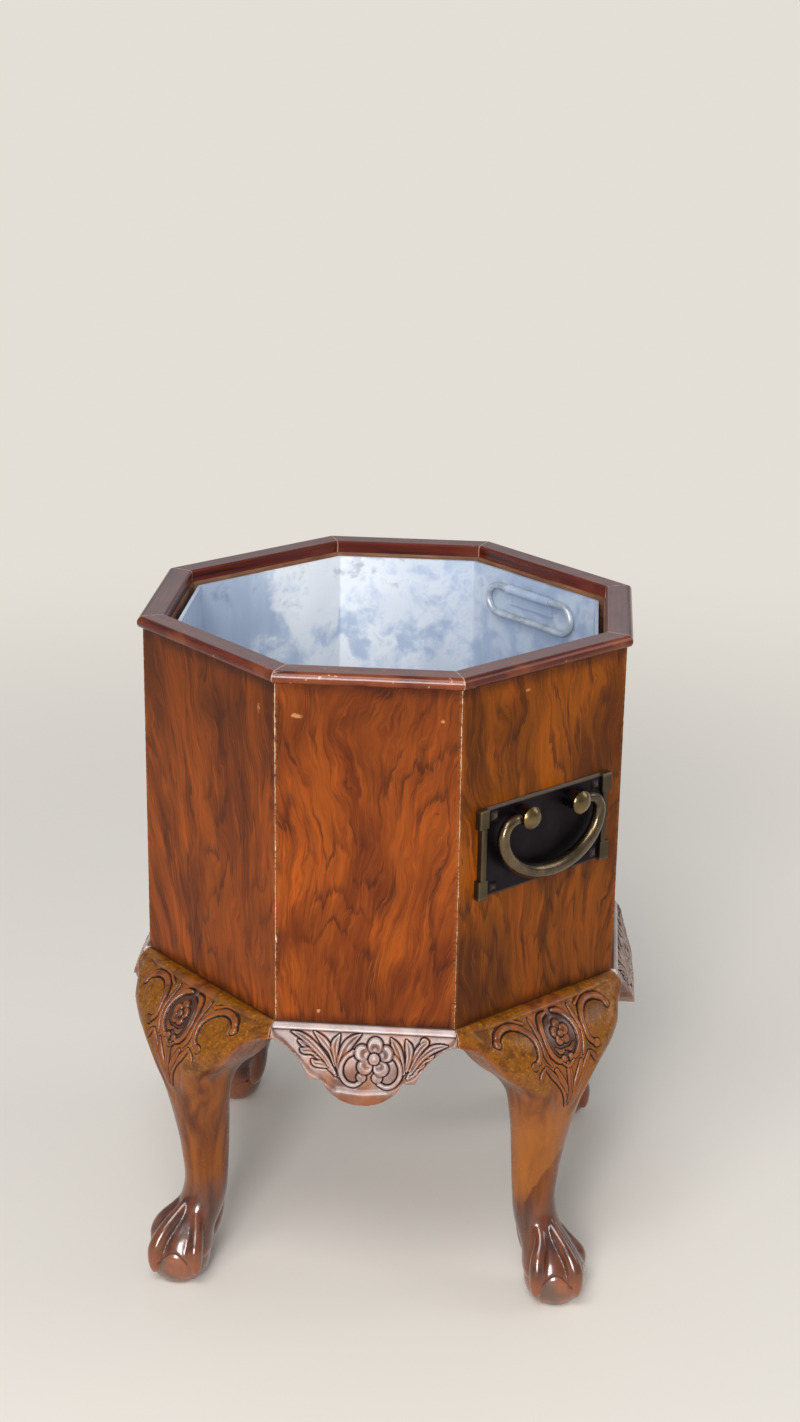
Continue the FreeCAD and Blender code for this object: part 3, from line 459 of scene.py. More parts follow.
def zinc_finish():
    """Zinc sheet, pale blue-grey with a white oxide haze and darker stains; its right-hand side is
    darker as painted shade.
    """
    finish = Finish("liner_zinc")
    aside, _, up = finish.parts(finish.place)
    soft = finish.noise(finish.place, 14.0, 2.0, 0.5, 0.3)
    blot = finish.noise(finish.place, 70.0, 5.0, 0.62, 0.3)
    fleck = finish.noise(finish.place, 420.0, 4.0, 0.7)
    drag = finish.noise(finish.stretched(80, 80, 14), 1.0, 3.0, 0.6)
    finish.ground = finish.ramp(soft * 0.6 + drag * 0.4, (0.36, shade(186, 200, 220)),
                                (0.52, shade(202, 216, 234)), (0.66, shade(216, 228, 242)))
    whitening = (soft * 0.50 + blot * 0.50 + fleck * 0.08).fade(0.51, 0.63)
    finish.paint(whitening * 0.85, shade(243, 246, 246))
    # Painted shade: the right-hand side of the liner is darker, standing in for less light there.
    dull = (aside + (soft - 0.5) * 0.2).fade(-0.04, 0.10)
    finish.paint(dull * 0.68, shade(140, 156, 180))
    top = up.fade((CASE_TOP - 34) * MM, (CASE_TOP - 4) * MM)
    stain = (drag * 0.20 + blot * 0.80 + top * 0.05).fade(0.57, 0.72)
    finish.paint(stain * (0.32 + top * 0.20), shade(108, 120, 142))
    rough = 0.36 + whitening * 0.30 + drag * 0.12
    relief = soft * 6.0 + blot * 1.2 + fleck * 0.2
    return finish.surface({"Metallic": 0.30 - whitening * 0.25, "Roughness": rough,
                           "Normal": finish.bump(relief, 0.18, 0.0008)})


def wire_finish():
    """Tinned wire of the rings, dull grey with darker handling marks."""
    finish = Finish("ring_wire_dull")
    blot = finish.noise(finish.place, 130.0, 4.0, 0.6)
    finish.ground = finish.ramp(blot, (0.3, shade(150, 160, 170)), (0.7, shade(204, 212, 218)))
    return finish.surface({"Metallic": 0.45, "Roughness": 0.32 + blot * 0.2,
                           "Normal": finish.bump(blot, 0.3, 0.0004)})


def plate_finish():
    """Near-black bronze of the handle plates, brassy where the bars and pads are worn; one bar is
    kept darker as painted shade.
    """
    finish = Finish("handle_plate_bronze")
    across, out, up = finish.parts(finish.towards("front_right"))
    cloud = finish.noise(finish.place, 70.0, 4.0, 0.6)
    grit = finish.noise(finish.place, 900.0, 3.0, 0.6)
    bar = across.size().fade((PLATE_HALF - 6.2) * MM, (PLATE_HALF - 5.2) * MM)
    # Painted shade: the bar on the right of the front plate gets much less brass.
    bar = bar * (1.0 - across.fade(-0.01, 0.01) * 0.65)
    proud = (out.size() - (CORNER_DISTANCE + PLATE_THICKNESS) * MM).fade(0.0, 0.0020)
    border = (up - HANDLE_HEIGHT * MM).size().fade(0.0238, 0.0252)
    finish.ground = finish.ramp(cloud, (0.3, shade(20, 14, 22)), (0.7, shade(36, 28, 34)))
    finish.paint(border * (0.3 + grit * 0.6), shade(112, 98, 84))
    finish.paint(bar * (0.35 + cloud * 0.5), shade(74, 64, 46))
    finish.paint(proud * (0.10 + cloud * 0.4), shade(124, 108, 76))
    rough = 0.30 + cloud * 0.16 + grit * 0.10
    return finish.surface({"Metallic": 0.85, "Roughness": rough,
                           "Normal": finish.bump(cloud * 2.0 + grit * 0.4, 0.3, 0.0004)})


def brass_finish(name, dull, bright, front, deep):
    """Old brass with a dark skin, worn through where it is handled; the skin towards the panel is
    patina and also painted shade. The rubbing starts front millimetres off the panel and is full
    deep millimetres further out."""
    finish = Finish(name)
    _, out, _ = finish.parts(finish.towards("front_right"))
    skin = (out.size() - (CORNER_DISTANCE + front) * MM).fade(deep * MM, 0.0)
    cloud = finish.noise(finish.place, 85.0, 4.0, 0.6, 0.5)
    grit = finish.noise(finish.place, 1100.0, 3.0, 0.6)
    finish.ground = finish.ramp(cloud, (0.30, dull), (0.62, bright))
    finish.paint(grit.fade(0.60, 0.72) * 0.4, shade(58, 44, 28))
    # Patina and painted shade: the dark skin towards the panel, lighter further out.
    finish.paint(skin, shade(30, 24, 27))
    rough = 0.15 + cloud * 0.14 + grit * 0.07
    return finish.surface({"Metallic": 0.95, "Roughness": rough,
                           "Coat Weight": 0.5, "Coat Roughness": 0.12,
                           "Normal": finish.bump(cloud * 2.0 + grit * 0.3, 0.25, 0.0004)})


def steel_finish():
    """Plain steel of the hidden screws, with a little rust."""
    finish = Finish("screw_steel_plain")
    rust = finish.noise(finish.place, 300.0, 4.0, 0.6)
    finish.ground = finish.ramp(rust, (0.45, shade(120, 118, 114)), (0.70, shade(120, 78, 50)))
    return finish.surface({"Metallic": 0.8, "Roughness": 0.4 + rust * 0.3})


# ---------- carving
# Lengths here are in millimetres. A carved line is a list of (across, drop, half-width):
# across runs to the right along the face, and drop down from the case's lower edge.

LINE_STEPS = 7                # from one point of a line to the next
GROOVE = 0.5                  # depth of the fine groove that is cut round a form
LEAF_GROOVE = 0.55
GROOVE_REACH = 0.45           # how far a groove spreads


def curve_through(points):
    """Points of a smooth line through rows of numbers, each row taken whole."""
    rows = np.array(points, dtype=float)
    if len(rows) < 3:
        share = np.linspace(0, 1, LINE_STEPS + 1)[:, None]
        return rows[0] * (1 - share) + rows[-1] * share
    padded = np.vstack([2 * rows[0] - rows[1], rows, 2 * rows[-1] - rows[-2]])
    made = []
    for i in range(1, len(padded) - 2):
        before, here, after, beyond = padded[i - 1:i + 3]
        for t in np.arange(LINE_STEPS) / LINE_STEPS:
            made.append(0.5 * (2 * here + (after - before) * t
                               + (2 * before - 5 * here + 4 * after - beyond) * t * t
                               + (3 * here - before - 3 * after + beyond) * t ** 3))
    made.append(rows[-1])
    return np.array(made)


def soft_step(value, low, high):
    """0 at low, 1 at high and smooth between; low may be the larger."""
    share = np.clip((value - low) / (high - low), 0, 1)
    return share * share * (3 - 2 * share)


class Relief:
    """Carving over the points of a face: how far each lies above or below the uncarved wood,
    and where the wood is stippled (pad) or dark in the ground (shadow)."""

    def __init__(self, across, drop, ground):
        self.across = across
        self.drop = drop
        self.depth = np.full_like(across, -ground)
        self.pad = np.zeros_like(across)
        self.shadow = np.zeros_like(across)

    def beside(self, points):
        """For the points of the face near a line: which they are, their distance from it, the
        half-width there and the share of the line passed."""
        line = curve_through(points)
        margin = line[:, 2].max() + 2.5
        low, high = line.min(axis=0) - margin, line.max(axis=0) + margin
        near = np.flatnonzero((self.across > low[0]) & (self.across < high[0])
                              & (self.drop > low[1]) & (self.drop < high[1]))
        x, y = self.across[near], self.drop[near]
        best = np.full(len(near), 1e9)
        distance = np.full(len(near), 1e9)
        width = np.ones(len(near))
        share = np.zeros(len(near))
        for i in range(len(line) - 1):
            (x0, y0, w0), (x1, y1, w1) = line[i], line[i + 1]
            length = (x1 - x0) ** 2 + (y1 - y0) ** 2 + 1e-12
            part = np.clip(((x - x0) * (x1 - x0) + (y - y0) * (y1 - y0)) / length, 0, 1)
            off = np.hypot(x - x0 - part * (x1 - x0), y - y0 - part * (y1 - y0))
            half = np.maximum(w0 + part * (w1 - w0), 0.05)
            closer = off / half < best
            best[closer] = (off / half)[closer]
            distance[closer] = off[closer]
            width[closer] = half[closer]
            share[closer] = ((i + part) / (len(line) - 1))[closer]
        return near, distance, width, share

    def around(self, x, y, radius):
        """The same for a round form."""
        return self.beside([(x - 0.01, y, radius), (x + 0.01, y, radius)])

    def lay(self, near, distance, width, height, groove=GROOVE):
        """Lays a form on the wood, and cuts a fine groove round it."""
        inside = soft_step(width - distance, -0.12, 0.22)
        outside = np.exp(-((distance - width - 0.25) / GROOVE_REACH) ** 2) * (distance > width)
        self.depth[near] -= groove * outside
        self.depth[near] += inside * (height - self.depth[near])
        self.pad[near] *= 1 - inside

    def lay_round(self, near, distance, width, top, swell, groove=GROOVE):
        """Lays a form with a round back, which falls by swell from its top to its edge."""
        q = np.clip(distance / width, 0, 1)
        self.lay(near, distance, width, top - swell * (1 - np.sqrt(1 - q * q * 0.98)), groove)

    def band(self, points, top=0.0, swell=0.75, groove=GROOVE):
        """A rounded ridge, as on a scroll."""
        near, distance, width, _ = self.beside(points)
        self.lay_round(near, distance, width, top, swell, groove)

    def boss(self, x, y, radius, top=0.0, swell=1.0):
        """A round bead."""
        near, distance, width, _ = self.around(x, y, radius)
        self.lay_round(near, distance, width, top, swell)

    def leaf(self, points, top=-0.1, vein=0.55):
        """A hollow leaf with raised edges and a vein down its middle."""
        near, distance, width, share = self.beside(points)
        q = np.clip(distance / width, 0, 1)
        curl = 0.35 * np.sin(share * math.pi)
        height = top - vein * np.exp(-(q / 0.26) ** 2) - 0.42 * q ** 4 - 0.25 + curl * (1 - q * q)
        self.lay(near, distance, width, height, LEAF_GROOVE)

    def petal(self, x, y, radius, centre, top=-0.1, cup=0.8):
        """A round petal with a raised outer lip, hollowed towards the flower's centre."""
        near, distance, width, _ = self.around(x, y, radius)
        q = np.clip(distance / width, 0, 1)
        cup_x = x + 0.30 * (centre[0] - x)
        cup_y = y + 0.30 * (centre[1] - y)
        inner = np.hypot(self.across[near] - cup_x, self.drop[near] - cup_y) / radius
        height = top - cup * soft_step(inner, 0.80, 0.25) - 0.5 * soft_step(q, 0.75, 1.0)
        self.lay(near, distance, width, height)

    def dome(self, x, y, radius, top, fall):
        """A broad, low, round swelling."""
        q = np.hypot(self.across - x, self.drop - y) / radius
        inside = soft_step(q, 1.04, 0.94)
        self.depth += inside * (top - fall * np.clip(q, 0, 1) ** 2.4 - self.depth)


def apron_carving(relief):
    """A five-petalled flower between two scrolls, with acanthus leaves to each side."""
    flower = (6.3, 15.7)
    left_leaves = [
        [(-14.5, 25.0, 0.8), (-21.0, 17.8, 1.9), (-27.0, 13.0, 2.0), (-33.0, 9.5, 1.4),
         (-36.0, 8.0, 0.3)],
        [(-19.5, 20.5, 1.0), (-22.5, 19.6, 1.9), (-26.0, 19.2, 1.6), (-28.0, 17.5, 0.4)],
        [(-25.5, 14.0, 1.0), (-29.0, 12.9, 1.9), (-32.5, 13.0, 1.5), (-34.5, 12.0, 0.3)],
        [(-15.0, 24.0, 0.7), (-20.5, 16.5, 1.5), (-27.5, 10.0, 1.9), (-34.0, 5.8, 1.5),
         (-39.5, 3.9, 0.3)],
        [(-15.0, 20.0, 0.7), (-17.5, 13.0, 1.5), (-22.0, 7.8, 1.9), (-27.3, 3.4, 0.3)],
        [(-13.2, 22.0, 0.8), (-15.0, 14.0, 1.6), (-15.4, 9.0, 2.2), (-13.2, 4.3, 0.4)],
        [(-12.6, 25.5, 0.9), (-12.0, 17.0, 1.9), (-9.0, 10.0, 2.6), (-5.5, 6.3, 1.9),
         (-1.4, 3.6, 0.3)],
    ]
    right_leaves = [
        [(25.0, 25.0, 0.8), (27.5, 22.0, 1.9), (29.5, 20.6, 1.4), (30.5, 19.0, 0.3)],
        [(28.0, 21.5, 0.9), (31.0, 18.2, 1.8), (33.0, 17.2, 1.3), (34.0, 15.5, 0.3)],
        [(30.5, 18.0, 0.9), (34.0, 14.6, 1.7), (37.0, 13.8, 1.3), (39.0, 12.0, 0.3)],
        [(26.5, 22.0, 0.8), (31.5, 14.5, 1.7), (37.5, 9.6, 2.0), (42.0, 8.0, 1.4),
         (46.0, 7.3, 0.3)],
        [(25.6, 20.5, 0.8), (28.6, 13.5, 1.6), (31.6, 9.0, 1.9), (34.6, 6.2, 1.3),
         (33.0, 4.9, 0.9), (31.4, 6.2, 0.5)],
        [(24.0, 21.0, 0.8), (25.4, 14.0, 1.7), (25.2, 9.5, 2.1), (23.6, 5.6, 0.5)],
        [(22.6, 22.5, 0.9), (20.6, 14.5, 1.9), (18.0, 9.5, 2.4), (15.2, 5.0, 0.4)],
    ]
    for leaf in left_leaves + right_leaves:
        relief.leaf(leaf)
    left_scroll = [(-5.2, 12.6, 1.3), (-9.0, 15.0, 1.2), (-11.6, 19.5, 1.2), (-11.6, 24.5, 1.2),
                   (-8.6, 28.9, 1.2), (-4.4, 30.2, 1.2), (-1.0, 28.4, 1.1)]
    right_scroll = [(15.6, 13.2, 1.3), (18.9, 15.6, 1.2), (20.9, 20.0, 1.2), (20.5, 25.0, 1.2),
                    (17.4, 29.2, 1.2), (13.2, 30.6, 1.2), (9.2, 28.8, 1.1)]
    for scroll in (left_scroll, right_scroll):
        relief.band(scroll, top=0.05, swell=0.8)
    relief.boss(-0.4, 25.7, 2.7, top=0.0)
    relief.boss(8.2, 25.7, 2.9, top=0.0)
    for x, y in ((1.3, 19.9), (10.2, 20.6), (-0.5, 12.7), (12.7, 12.6), (6.6, 8.8)):
        relief.petal(x, y, 4.2, flower)
    relief.boss(*flower, 3.0, top=0.15, swell=0.9)


def knee_carving(relief):
    """A flower in a ring of scrolls on the knee, a scroll and a swelling on each ear, and
    leaf strands that hang down the shin."""
    side = np.abs(relief.across)
    pad_edge = np.interp(side, [12, 22, 29, 34, 39.5, 44, 47.5, 51.4, 55.3, 59.4],
                         [46, 44, 38, 33, 28, 23, 18, 13.5, 10.5, 8.5])
    relief.pad = soft_step(side, 12.0, 17.0) * soft_step(pad_edge - relief.drop, 0.0, 2.5)
    ring_middle, ring_radius = 15.2, 12.4
    off_ring = np.hypot(side / ring_radius, (relief.drop - ring_middle) / ring_radius)
    relief.shadow = soft_step(off_ring, 1.10, 0.92)

    def mirrored(hand, points):
        return [(hand * x, y, width) for x, y, width in points]

    outer_strand = [(16.5, 27.0, 1.0), (12.0, 33.0, 1.7), (7.5, 39.0, 1.6), (4.0, 46.0, 1.3),
                    (1.5, 56.0, 0.3)]
    inner_strand = [(9.5, 30.0, 1.2), (6.5, 36.0, 1.7), (3.0, 43.0, 1.2), (0.8, 50.0, 0.3)]
    middle_strand = [(0.0, 29.0, 1.2), (0.0, 36.0, 2.0), (0.0, 44.0, 1.5), (0.0, 54.0, 0.3)]
    side_strand = [(18.0, 27.5, 0.8), (20.5, 31.0, 1.4), (22.0, 36.0, 0.3)]
    pairs = [mirrored(hand, strand) for strand in (outer_strand, inner_strand) for hand in (-1, 1)]
    sides = [mirrored(hand, side_strand) for hand in (-1, 1)]
    for strand in pairs + [middle_strand] + sides:
        relief.leaf(strand, top=-0.15, vein=0.5)

    ear_border = [(44.0, 9.0, 0.6), (40.0, 4.6, 0.7), (33.0, 2.4, 0.7), (26.0, 2.6, 0.7),
                  (20.0, 4.4, 0.6)]
    ear_scroll = [(42.0, 8.6, 1.5), (39.4, 5.6, 1.3), (34.0, 3.9, 1.2), (28.0, 4.1, 1.2),
                  (22.6, 6.4, 1.3), (19.0, 10.4, 1.4), (18.0, 15.5, 1.5), (19.3, 20.6, 1.4),
                  (22.8, 24.0, 1.4)]
    ring = [(2.5, 3.6, 0.6), (7.5, 4.8, 1.2), (11.0, 9.0, 1.4), (12.2, 15.0, 1.5),
            (10.6, 21.0, 1.4), (6.8, 25.4, 1.4), (2.4, 26.6, 1.2)]
    ring_leaf = [(15.0, 3.8, 0.5), (14.8, 9.0, 1.2), (15.2, 15.0, 1.1), (14.2, 22.0, 1.3),
                 (12.0, 27.0, 0.4)]
    sepal = [(0.6, 20.8, 0.5), (4.0, 21.4, 1.3), (6.6, 19.0, 0.5)]
    for hand in (-1, 1):
        relief.dome(hand * 31.0, 15.5, 10.5, top=-0.7, fall=0.3)
        relief.band(mirrored(hand, ear_border), top=-0.35, swell=0.5, groove=0.35)
        relief.band(mirrored(hand, ear_scroll), top=0.1, swell=0.9, groove=1.0)
        relief.boss(hand * 42.0, 9.0, 2.0, top=0.1)
        relief.boss(hand * 23.8, 24.2, 2.4, top=0.1)
        relief.band(mirrored(hand, ring), top=0.1, swell=0.9, groove=1.0)
        relief.boss(hand * 2.6, 25.2, 1.7, top=0.1)
        relief.leaf(mirrored(hand, ring_leaf), top=-0.35, vein=0.4)
        relief.leaf(mirrored(hand, sepal), top=-0.3)

    flower, petals, petal_reach = (0.0, 12.8), 5, 3.6
    for spoke in range(petals):
        turn = math.radians(90 + 360 / petals * spoke)
        relief.petal(flower[0] + petal_reach * math.cos(turn),
                     flower[1] - petal_reach * math.sin(turn), 2.5, flower, top=-0.05, cup=0.6)
    relief.boss(*flower, 1.7, top=0.15, swell=0.7)
    relief.band([(-4.0, 27.6, 0.5), (0.0, 30.2, 1.0), (4.0, 27.6, 0.5)], top=-0.1)


# ---------- building pieces

def put(name, data):
    """A new object in the scene: a mesh, a lamp or a camera."""
    made = bpy.data.objects.new(name, data)
    bpy.context.scene.collection.objects.link(made)
    return made


def new_piece(name, mesh, finish, body, slot, *nodes):
    """A piece of the scene that rides on a body and takes the place of CAD nodes."""
    piece = put(name, mesh)
    mesh.materials.clear()
    mesh.materials.append(finish)
    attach(piece, body)
    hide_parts(*nodes)


def merged_copy(nodes):
    """A mesh of one or more CAD nodes, with the corners of its triangles merged."""
    shape = bmesh.new()
    for node in nodes:
        shape.from_mesh(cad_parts[node].data)
    bmesh.ops.remove_doubles(shape, verts=shape.verts, dist=1e-6)
    mesh = bpy.data.meshes.new(nodes[0] + "_rough")
    shape.to_mesh(mesh)
    shape.free()
    return mesh


def even_mesh(mesh, size):
    """The same solid in small even faces, a little softened."""
    worker = put("worker", mesh)
    remesh = worker.modifiers.new("even", "REMESH")
    remesh.mode = "VOXEL"
    remesh.voxel_size = size * MM
    smooth = worker.modifiers.new("soft", "SMOOTH")
    smooth.factor = 0.5
    smooth.iterations = 3
    graph = bpy.context.evaluated_depsgraph_get()
    made = bpy.data.meshes.new_from_object(worker.evaluated_get(graph))
    bpy.data.objects.remove(worker)
    return made


def refined(mesh, wanted):
    """Halves the faces whose middles a test on (points, normals) picks out."""
    shape = bmesh.new()
    shape.from_mesh(mesh)
    middles = np.array([face.calc_center_median() for face in shape.faces])
    normals = np.array([face.normal for face in shape.faces])
    chosen = wanted(middles / MM, normals)
    edges = {edge for face, take in zip(shape.faces, chosen) if take for edge in face.edges}
    bmesh.ops.subdivide_edges(shape, edges=list(edges), cuts=1, use_grid_fill=True)
    bmesh.ops.triangulate(shape, faces=[face for face in shape.faces if len(face.verts) > 4])
    shape.to_mesh(mesh)
    shape.free()
    mesh.update()
    return mesh


BROAD_ROUNDS = 24             # of averaging, for a form's wide surroundings
NEAR_ROUNDS = 14              # and for its near ones


def spread_out(mesh, values, rounds):
    """Values averaged over neighbouring points, again and again."""
    pairs = np.empty(len(mesh.edges) * 2, dtype=np.int64)
    mesh.edges.foreach_get("vertices", pairs)
    first, second = pairs.reshape(-1, 2).T
    count = len(values)
    number = np.bincount(first, minlength=count) + np.bincount(second, minlength=count)
    for _ in range(rounds):
        total = (np.bincount(first, values[second], count)
                 + np.bincount(second, values[first], count))
        values = 0.5 * values + 0.5 * total / np.maximum(number, 1)
    return values


def sharpness(mesh, rounds):
    """How far each point stands proud of its surroundings, in millimetres."""
    points = mesh_points(mesh) / MM
    smooth = np.stack([spread_out(mesh, points[:, i], rounds) for i in range(3)], axis=1)
    return ((points - smooth) * mesh_normals(mesh)).sum(axis=1)


def store(mesh, name, values):
    """Keeps a value from 0 to 1 at each point of a mesh, for its finish to read."""
    if name not in mesh.attributes:
        mesh.attributes.new(name, "FLOAT", "POINT")
    values = np.clip(values, 0, 1).astype(np.float32)
    mesh.attributes[name].data.foreach_set("value", values)


def stored(mesh, name):
    values = np.empty(len(mesh.vertices), dtype=np.float32)
    mesh.attributes[name].data.foreach_get("value", values)
    return values


def carve(mesh, side, distance, ground, field, carver):
    """Cuts a carver's pattern into one face of a mesh, and marks its hollows and heights."""
    ahead, right = (np.array(v) for v in facing(side))
    points = mesh_points(mesh) / MM
    normals = mesh_normals(mesh)
    drop = CASE_BOTTOM - points[:, 2]
    out = points @ ahead - distance
    faced = soft_step(normals @ ahead, 0.05, 0.35)
    share = field(points @ right, drop, out) * faced
    relief = Relief(points @ right, drop, ground)
    carver(relief)
    depth = relief.depth * share
    around = spread_out(mesh, depth, BROAD_ROUNDS)
    points += normals * depth[:, None]
    mesh.vertices.foreach_set("co", (points * MM).ravel())
    mesh.update()
    crown = sharpness(mesh, NEAR_ROUNDS)
    # Painted shadow: a dark line at the top of the carving, just under the case.
    painted_shadow_gap = 0.55 * soft_step(drop, 0.6, 0.1) * soft_step(out, 2.4, 1.0)
    sunk = np.maximum((around - depth) * 2.0, -crown * 1.6 - 0.10)
    # Painted shade on the sunk ground inside the knee's ring of scrolls.
    between = share * soft_step(-relief.depth, 0.45, 0.85) * relief.shadow
    # The hollow mark is painted shade: dark in grooves and recesses and under the case.
    store(mesh, "hollow", np.maximum(sunk, painted_shadow_gap))
    # The height mark lightens the crests, partly as wear and partly as a painted highlight.
    store(mesh, "height", np.maximum((depth - around) * 1.1, crown * 2.0 - 0.25))
    store(mesh, "pad", relief.pad * np.maximum(faced, drop < 1.2))
    store(mesh, "between", spread_out(mesh, between, 2))


def turned_copy(mesh, turn):
    copy = mesh.copy()
    copy.transform(Matrix.Rotation(math.radians(turn), 4, "Z"))
    return copy


def shade_smooth(mesh):
    mesh.polygons.foreach_set("use_smooth", [True] * len(mesh.polygons))


# ---------- legs and aprons

APRON_FACE_SIZE = 0.75        # of the even mesh that is carved
LEG_FACE_SIZE = 0.85
APRON_GROUND = 1.15           # how deep the wood between the forms is cut
KNEE_GROUND = 1.0
CLEAR_OF_CASE = 2             # carving starts this far outside the case's face
ARCH_MIDDLE = 41              # of the bare ball's arch, in degrees round it from the front
ARCH_HALF = 28                # and half its span
ARCH_RISE = 7.0               # from its ends to its top


def apron_field(across, drop, out):
    """Where an apron is carved: inside its outline, below the plain band at its top."""
    edge = np.interp(np.abs(across), [0, 14, 20, 24, 29, 36, 44, 49, 52],
                     [35.5, 34.0, 30.5, 27.0, 24.5, 17.5, 10.5, 7.6, 4.0])
    return soft_step(drop, 2.4, 3.2) * soft_step(edge - drop, -0.8, 3.2) * (out > CLEAR_OF_CASE)


def knee_field(across, drop, out):
    """Where a knee is carved: its front, fading out down the shin and towards the ears' edge."""
    side = np.abs(across)
    edge = np.interp(side, [0, 8, 14, 22, 27, 35, 42, 48, 56], [70, 62, 46, 36, 27, 24, 18, 12, 6])
    return (soft_step(drop, 1.6, 2.6) * soft_step(edge - drop, -0.5, 8.0)
            * soft_step(side, 54.0, 49.0))


def shape_ball(mesh, ahead, right):
    """Uncovers the ball in an arch between two toes, and marks it."""
    points = mesh_points(mesh) / MM
    middle = (points[points[:, 2] < 0.5] @ ahead).mean()
    out = points @ ahead - middle
    side = points @ right
    rise = points[:, 2] - BALL_HEIGHT
    far = np.sqrt(out ** 2 + side ** 2 + rise ** 2)
    turn = np.abs(np.degrees(np.arctan2(side, out)))
    before = turn < ARCH_MIDDLE + ARCH_HALF
    arch_end = WEB_HEIGHT - 2.0
    arch = arch_end + ARCH_RISE * (1 - ((turn - ARCH_MIDDLE) / ARCH_HALF) ** 2)
    arch = np.where(before, arch, arch_end)
    skin = soft_step(far, BALL_RADIUS + 2.6, BALL_RADIUS + 1.7) * (points[:, 2] < 30)
    bare = soft_step(points[:, 2], arch + 0.35, arch - 0.35) * skin
    seam = np.exp(-((points[:, 2] - arch) / 0.8) ** 2) * skin * before
    pull = bare * np.clip(far - BALL_RADIUS, 0, None) + seam * 0.35
    outward = np.stack([out, side, rise], axis=1) @ np.array([ahead, right, (0, 0, 1)])
    points -= outward * (pull * (points[:, 2] > 1) / far)[:, None]
    mesh.vertices.foreach_set("co", (points * MM).ravel())
    mesh.update()
    store(mesh, "ball", bare * soft_step(far, BALL_RADIUS + 1.8, BALL_RADIUS + 1.2))
    # Painted shade: a dark line along the seam where the toes' skin meets the ball.
    store(mesh, "hollow", np.maximum(stored(mesh, "hollow"), 0.6 * seam))


def make_aprons(finish):
    ahead = np.array(facing("front")[0])

    def on_front(points, normals):
        return (normals @ ahead > 0.1) & (points @ ahead > MAIN_DISTANCE + CLEAR_OF_CASE)

    made = refined(even_mesh(merged_copy(["apron_front"]), APRON_FACE_SIZE), on_front)
    carve(made, "front", MAIN_DISTANCE, APRON_GROUND, apron_field, apron_carving)
    shade_smooth(made)
    for side in MAIN_SIDES:
        mesh = turned_copy(made, SIDES[side] - SIDES["front"])
        new_piece("carved_apron_" + side, mesh, finish, "carcass", "carved_mahogany",
                  "apron_" + side)


def make_legs(finish):
    ahead, right = (np.array(v) for v in facing("front_right"))

    def on_knee(points, normals):
        out = points @ ahead - CORNER_DISTANCE
        carved = knee_field(points @ right, CASE_BOTTOM - points[:, 2], out) > 0.001
        return (normals @ ahead > 0.08) & carved & (out > CLEAR_OF_CASE)

    whole = merged_copy(["leg_front_right", "knee_ears_front_right"])
    made = refined(even_mesh(whole, LEG_FACE_SIZE), on_knee)
    carve(made, "front_right", CORNER_DISTANCE, KNEE_GROUND, knee_field, knee_carving)
    shape_ball(made, ahead, right)
    shade_smooth(made)
    for corner in CORNERS:
        mesh = turned_copy(made, SIDES[corner] - SIDES["front_right"])
        new_piece("carved_leg_" + corner, mesh, finish, "carcass", "carved_mahogany",
                  "leg_" + corner, "knee_ears_" + corner)


# ---------- finishes on the CAD nodes

def give(finish, *nodes):
    """Puts a finish on CAD nodes, whose meshes stay as they are."""
    for node in nodes:
        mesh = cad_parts[node].data
        mesh.materials.clear()
        mesh.materials.append(finish)


# The eight leaves of veneer, no two alike.
VENEERS = {
    "front": dict(lean=8, fan=5.0, figure=0.70, dark=shade(96, 40, 12), bright=shade(144, 69, 18),
                  tones=(0.30, 0.10), chips=(1.0, 0.9), seed=2.0),
    "front_right": dict(lean=-2, fan=2.5, figure=0.72, dark=shade(80, 36, 2),
                        bright=shade(142, 74, 4), tones=(0.18, 0.40), chips=(0.9, 0.5), seed=5.0),
    "right": dict(lean=-6, fan=3.0, figure=0.60, dark=shade(92, 40, 6), bright=shade(138, 68, 10),
                  tones=(0.15, 0.15), chips=(0.5, 0.6), seed=9.0),
    "back_right": dict(lean=4, fan=4.0, figure=0.66, dark=shade(84, 38, 4),
                       bright=shade(140, 72, 8), tones=(0.15, 0.2), chips=(0.6, 0.5), seed=13.0),
    "back": dict(lean=-8, fan=4.5, figure=0.62, dark=shade(94, 42, 6), bright=shade(142, 70, 12),
                 tones=(0.15, 0.1), chips=(0.5, 0.7), seed=17.0),
    "back_left": dict(lean=-3, fan=3.0, figure=0.68, dark=shade(82, 36, 2),
                      bright=shade(140, 72, 8), tones=(0.15, 0.2), chips=(0.7, 0.5), seed=21.0),
    "left": dict(lean=6, fan=3.5, figure=0.60, dark=shade(90, 40, 6), bright=shade(136, 66, 10),
                 tones=(0.15, 0.15), chips=(0.5, 0.5), seed=25.0),
    "front_left": dict(lean=-12, fan=2.5, figure=0.66, dark=shade(88, 36, 6),
                       bright=shade(136, 64, 12), tones=(0.50, 0.10), chips=(0.5, 0.9), seed=29.0),
}
# How much each rim is worn lighter; the front's larger amount also stands in for the stronger light
# on that side, as painted light.
RIM_WEAR_AND_LIGHT = {"front": 0.55, "front_right": 0.3, "right": 0.2, "back_right": 0.3,
            "back": 0.3, "back_left": 0.2, "left": 0.2, "front_left": 0.3}


def dress_case():
    for side in SIDES:
        give(veneer_finish(side, **VENEERS[side]), "veneer_" + side)
        give(moulding_finish(side, RIM_WEAR_AND_LIGHT[side]), "rim_" + side)
    give(bare_wood_finish(), "bottom_board", "wall_glue_blocks", "apron_glue_blocks",
         "liner_bearers", *("wall_" + side for side in SIDES))


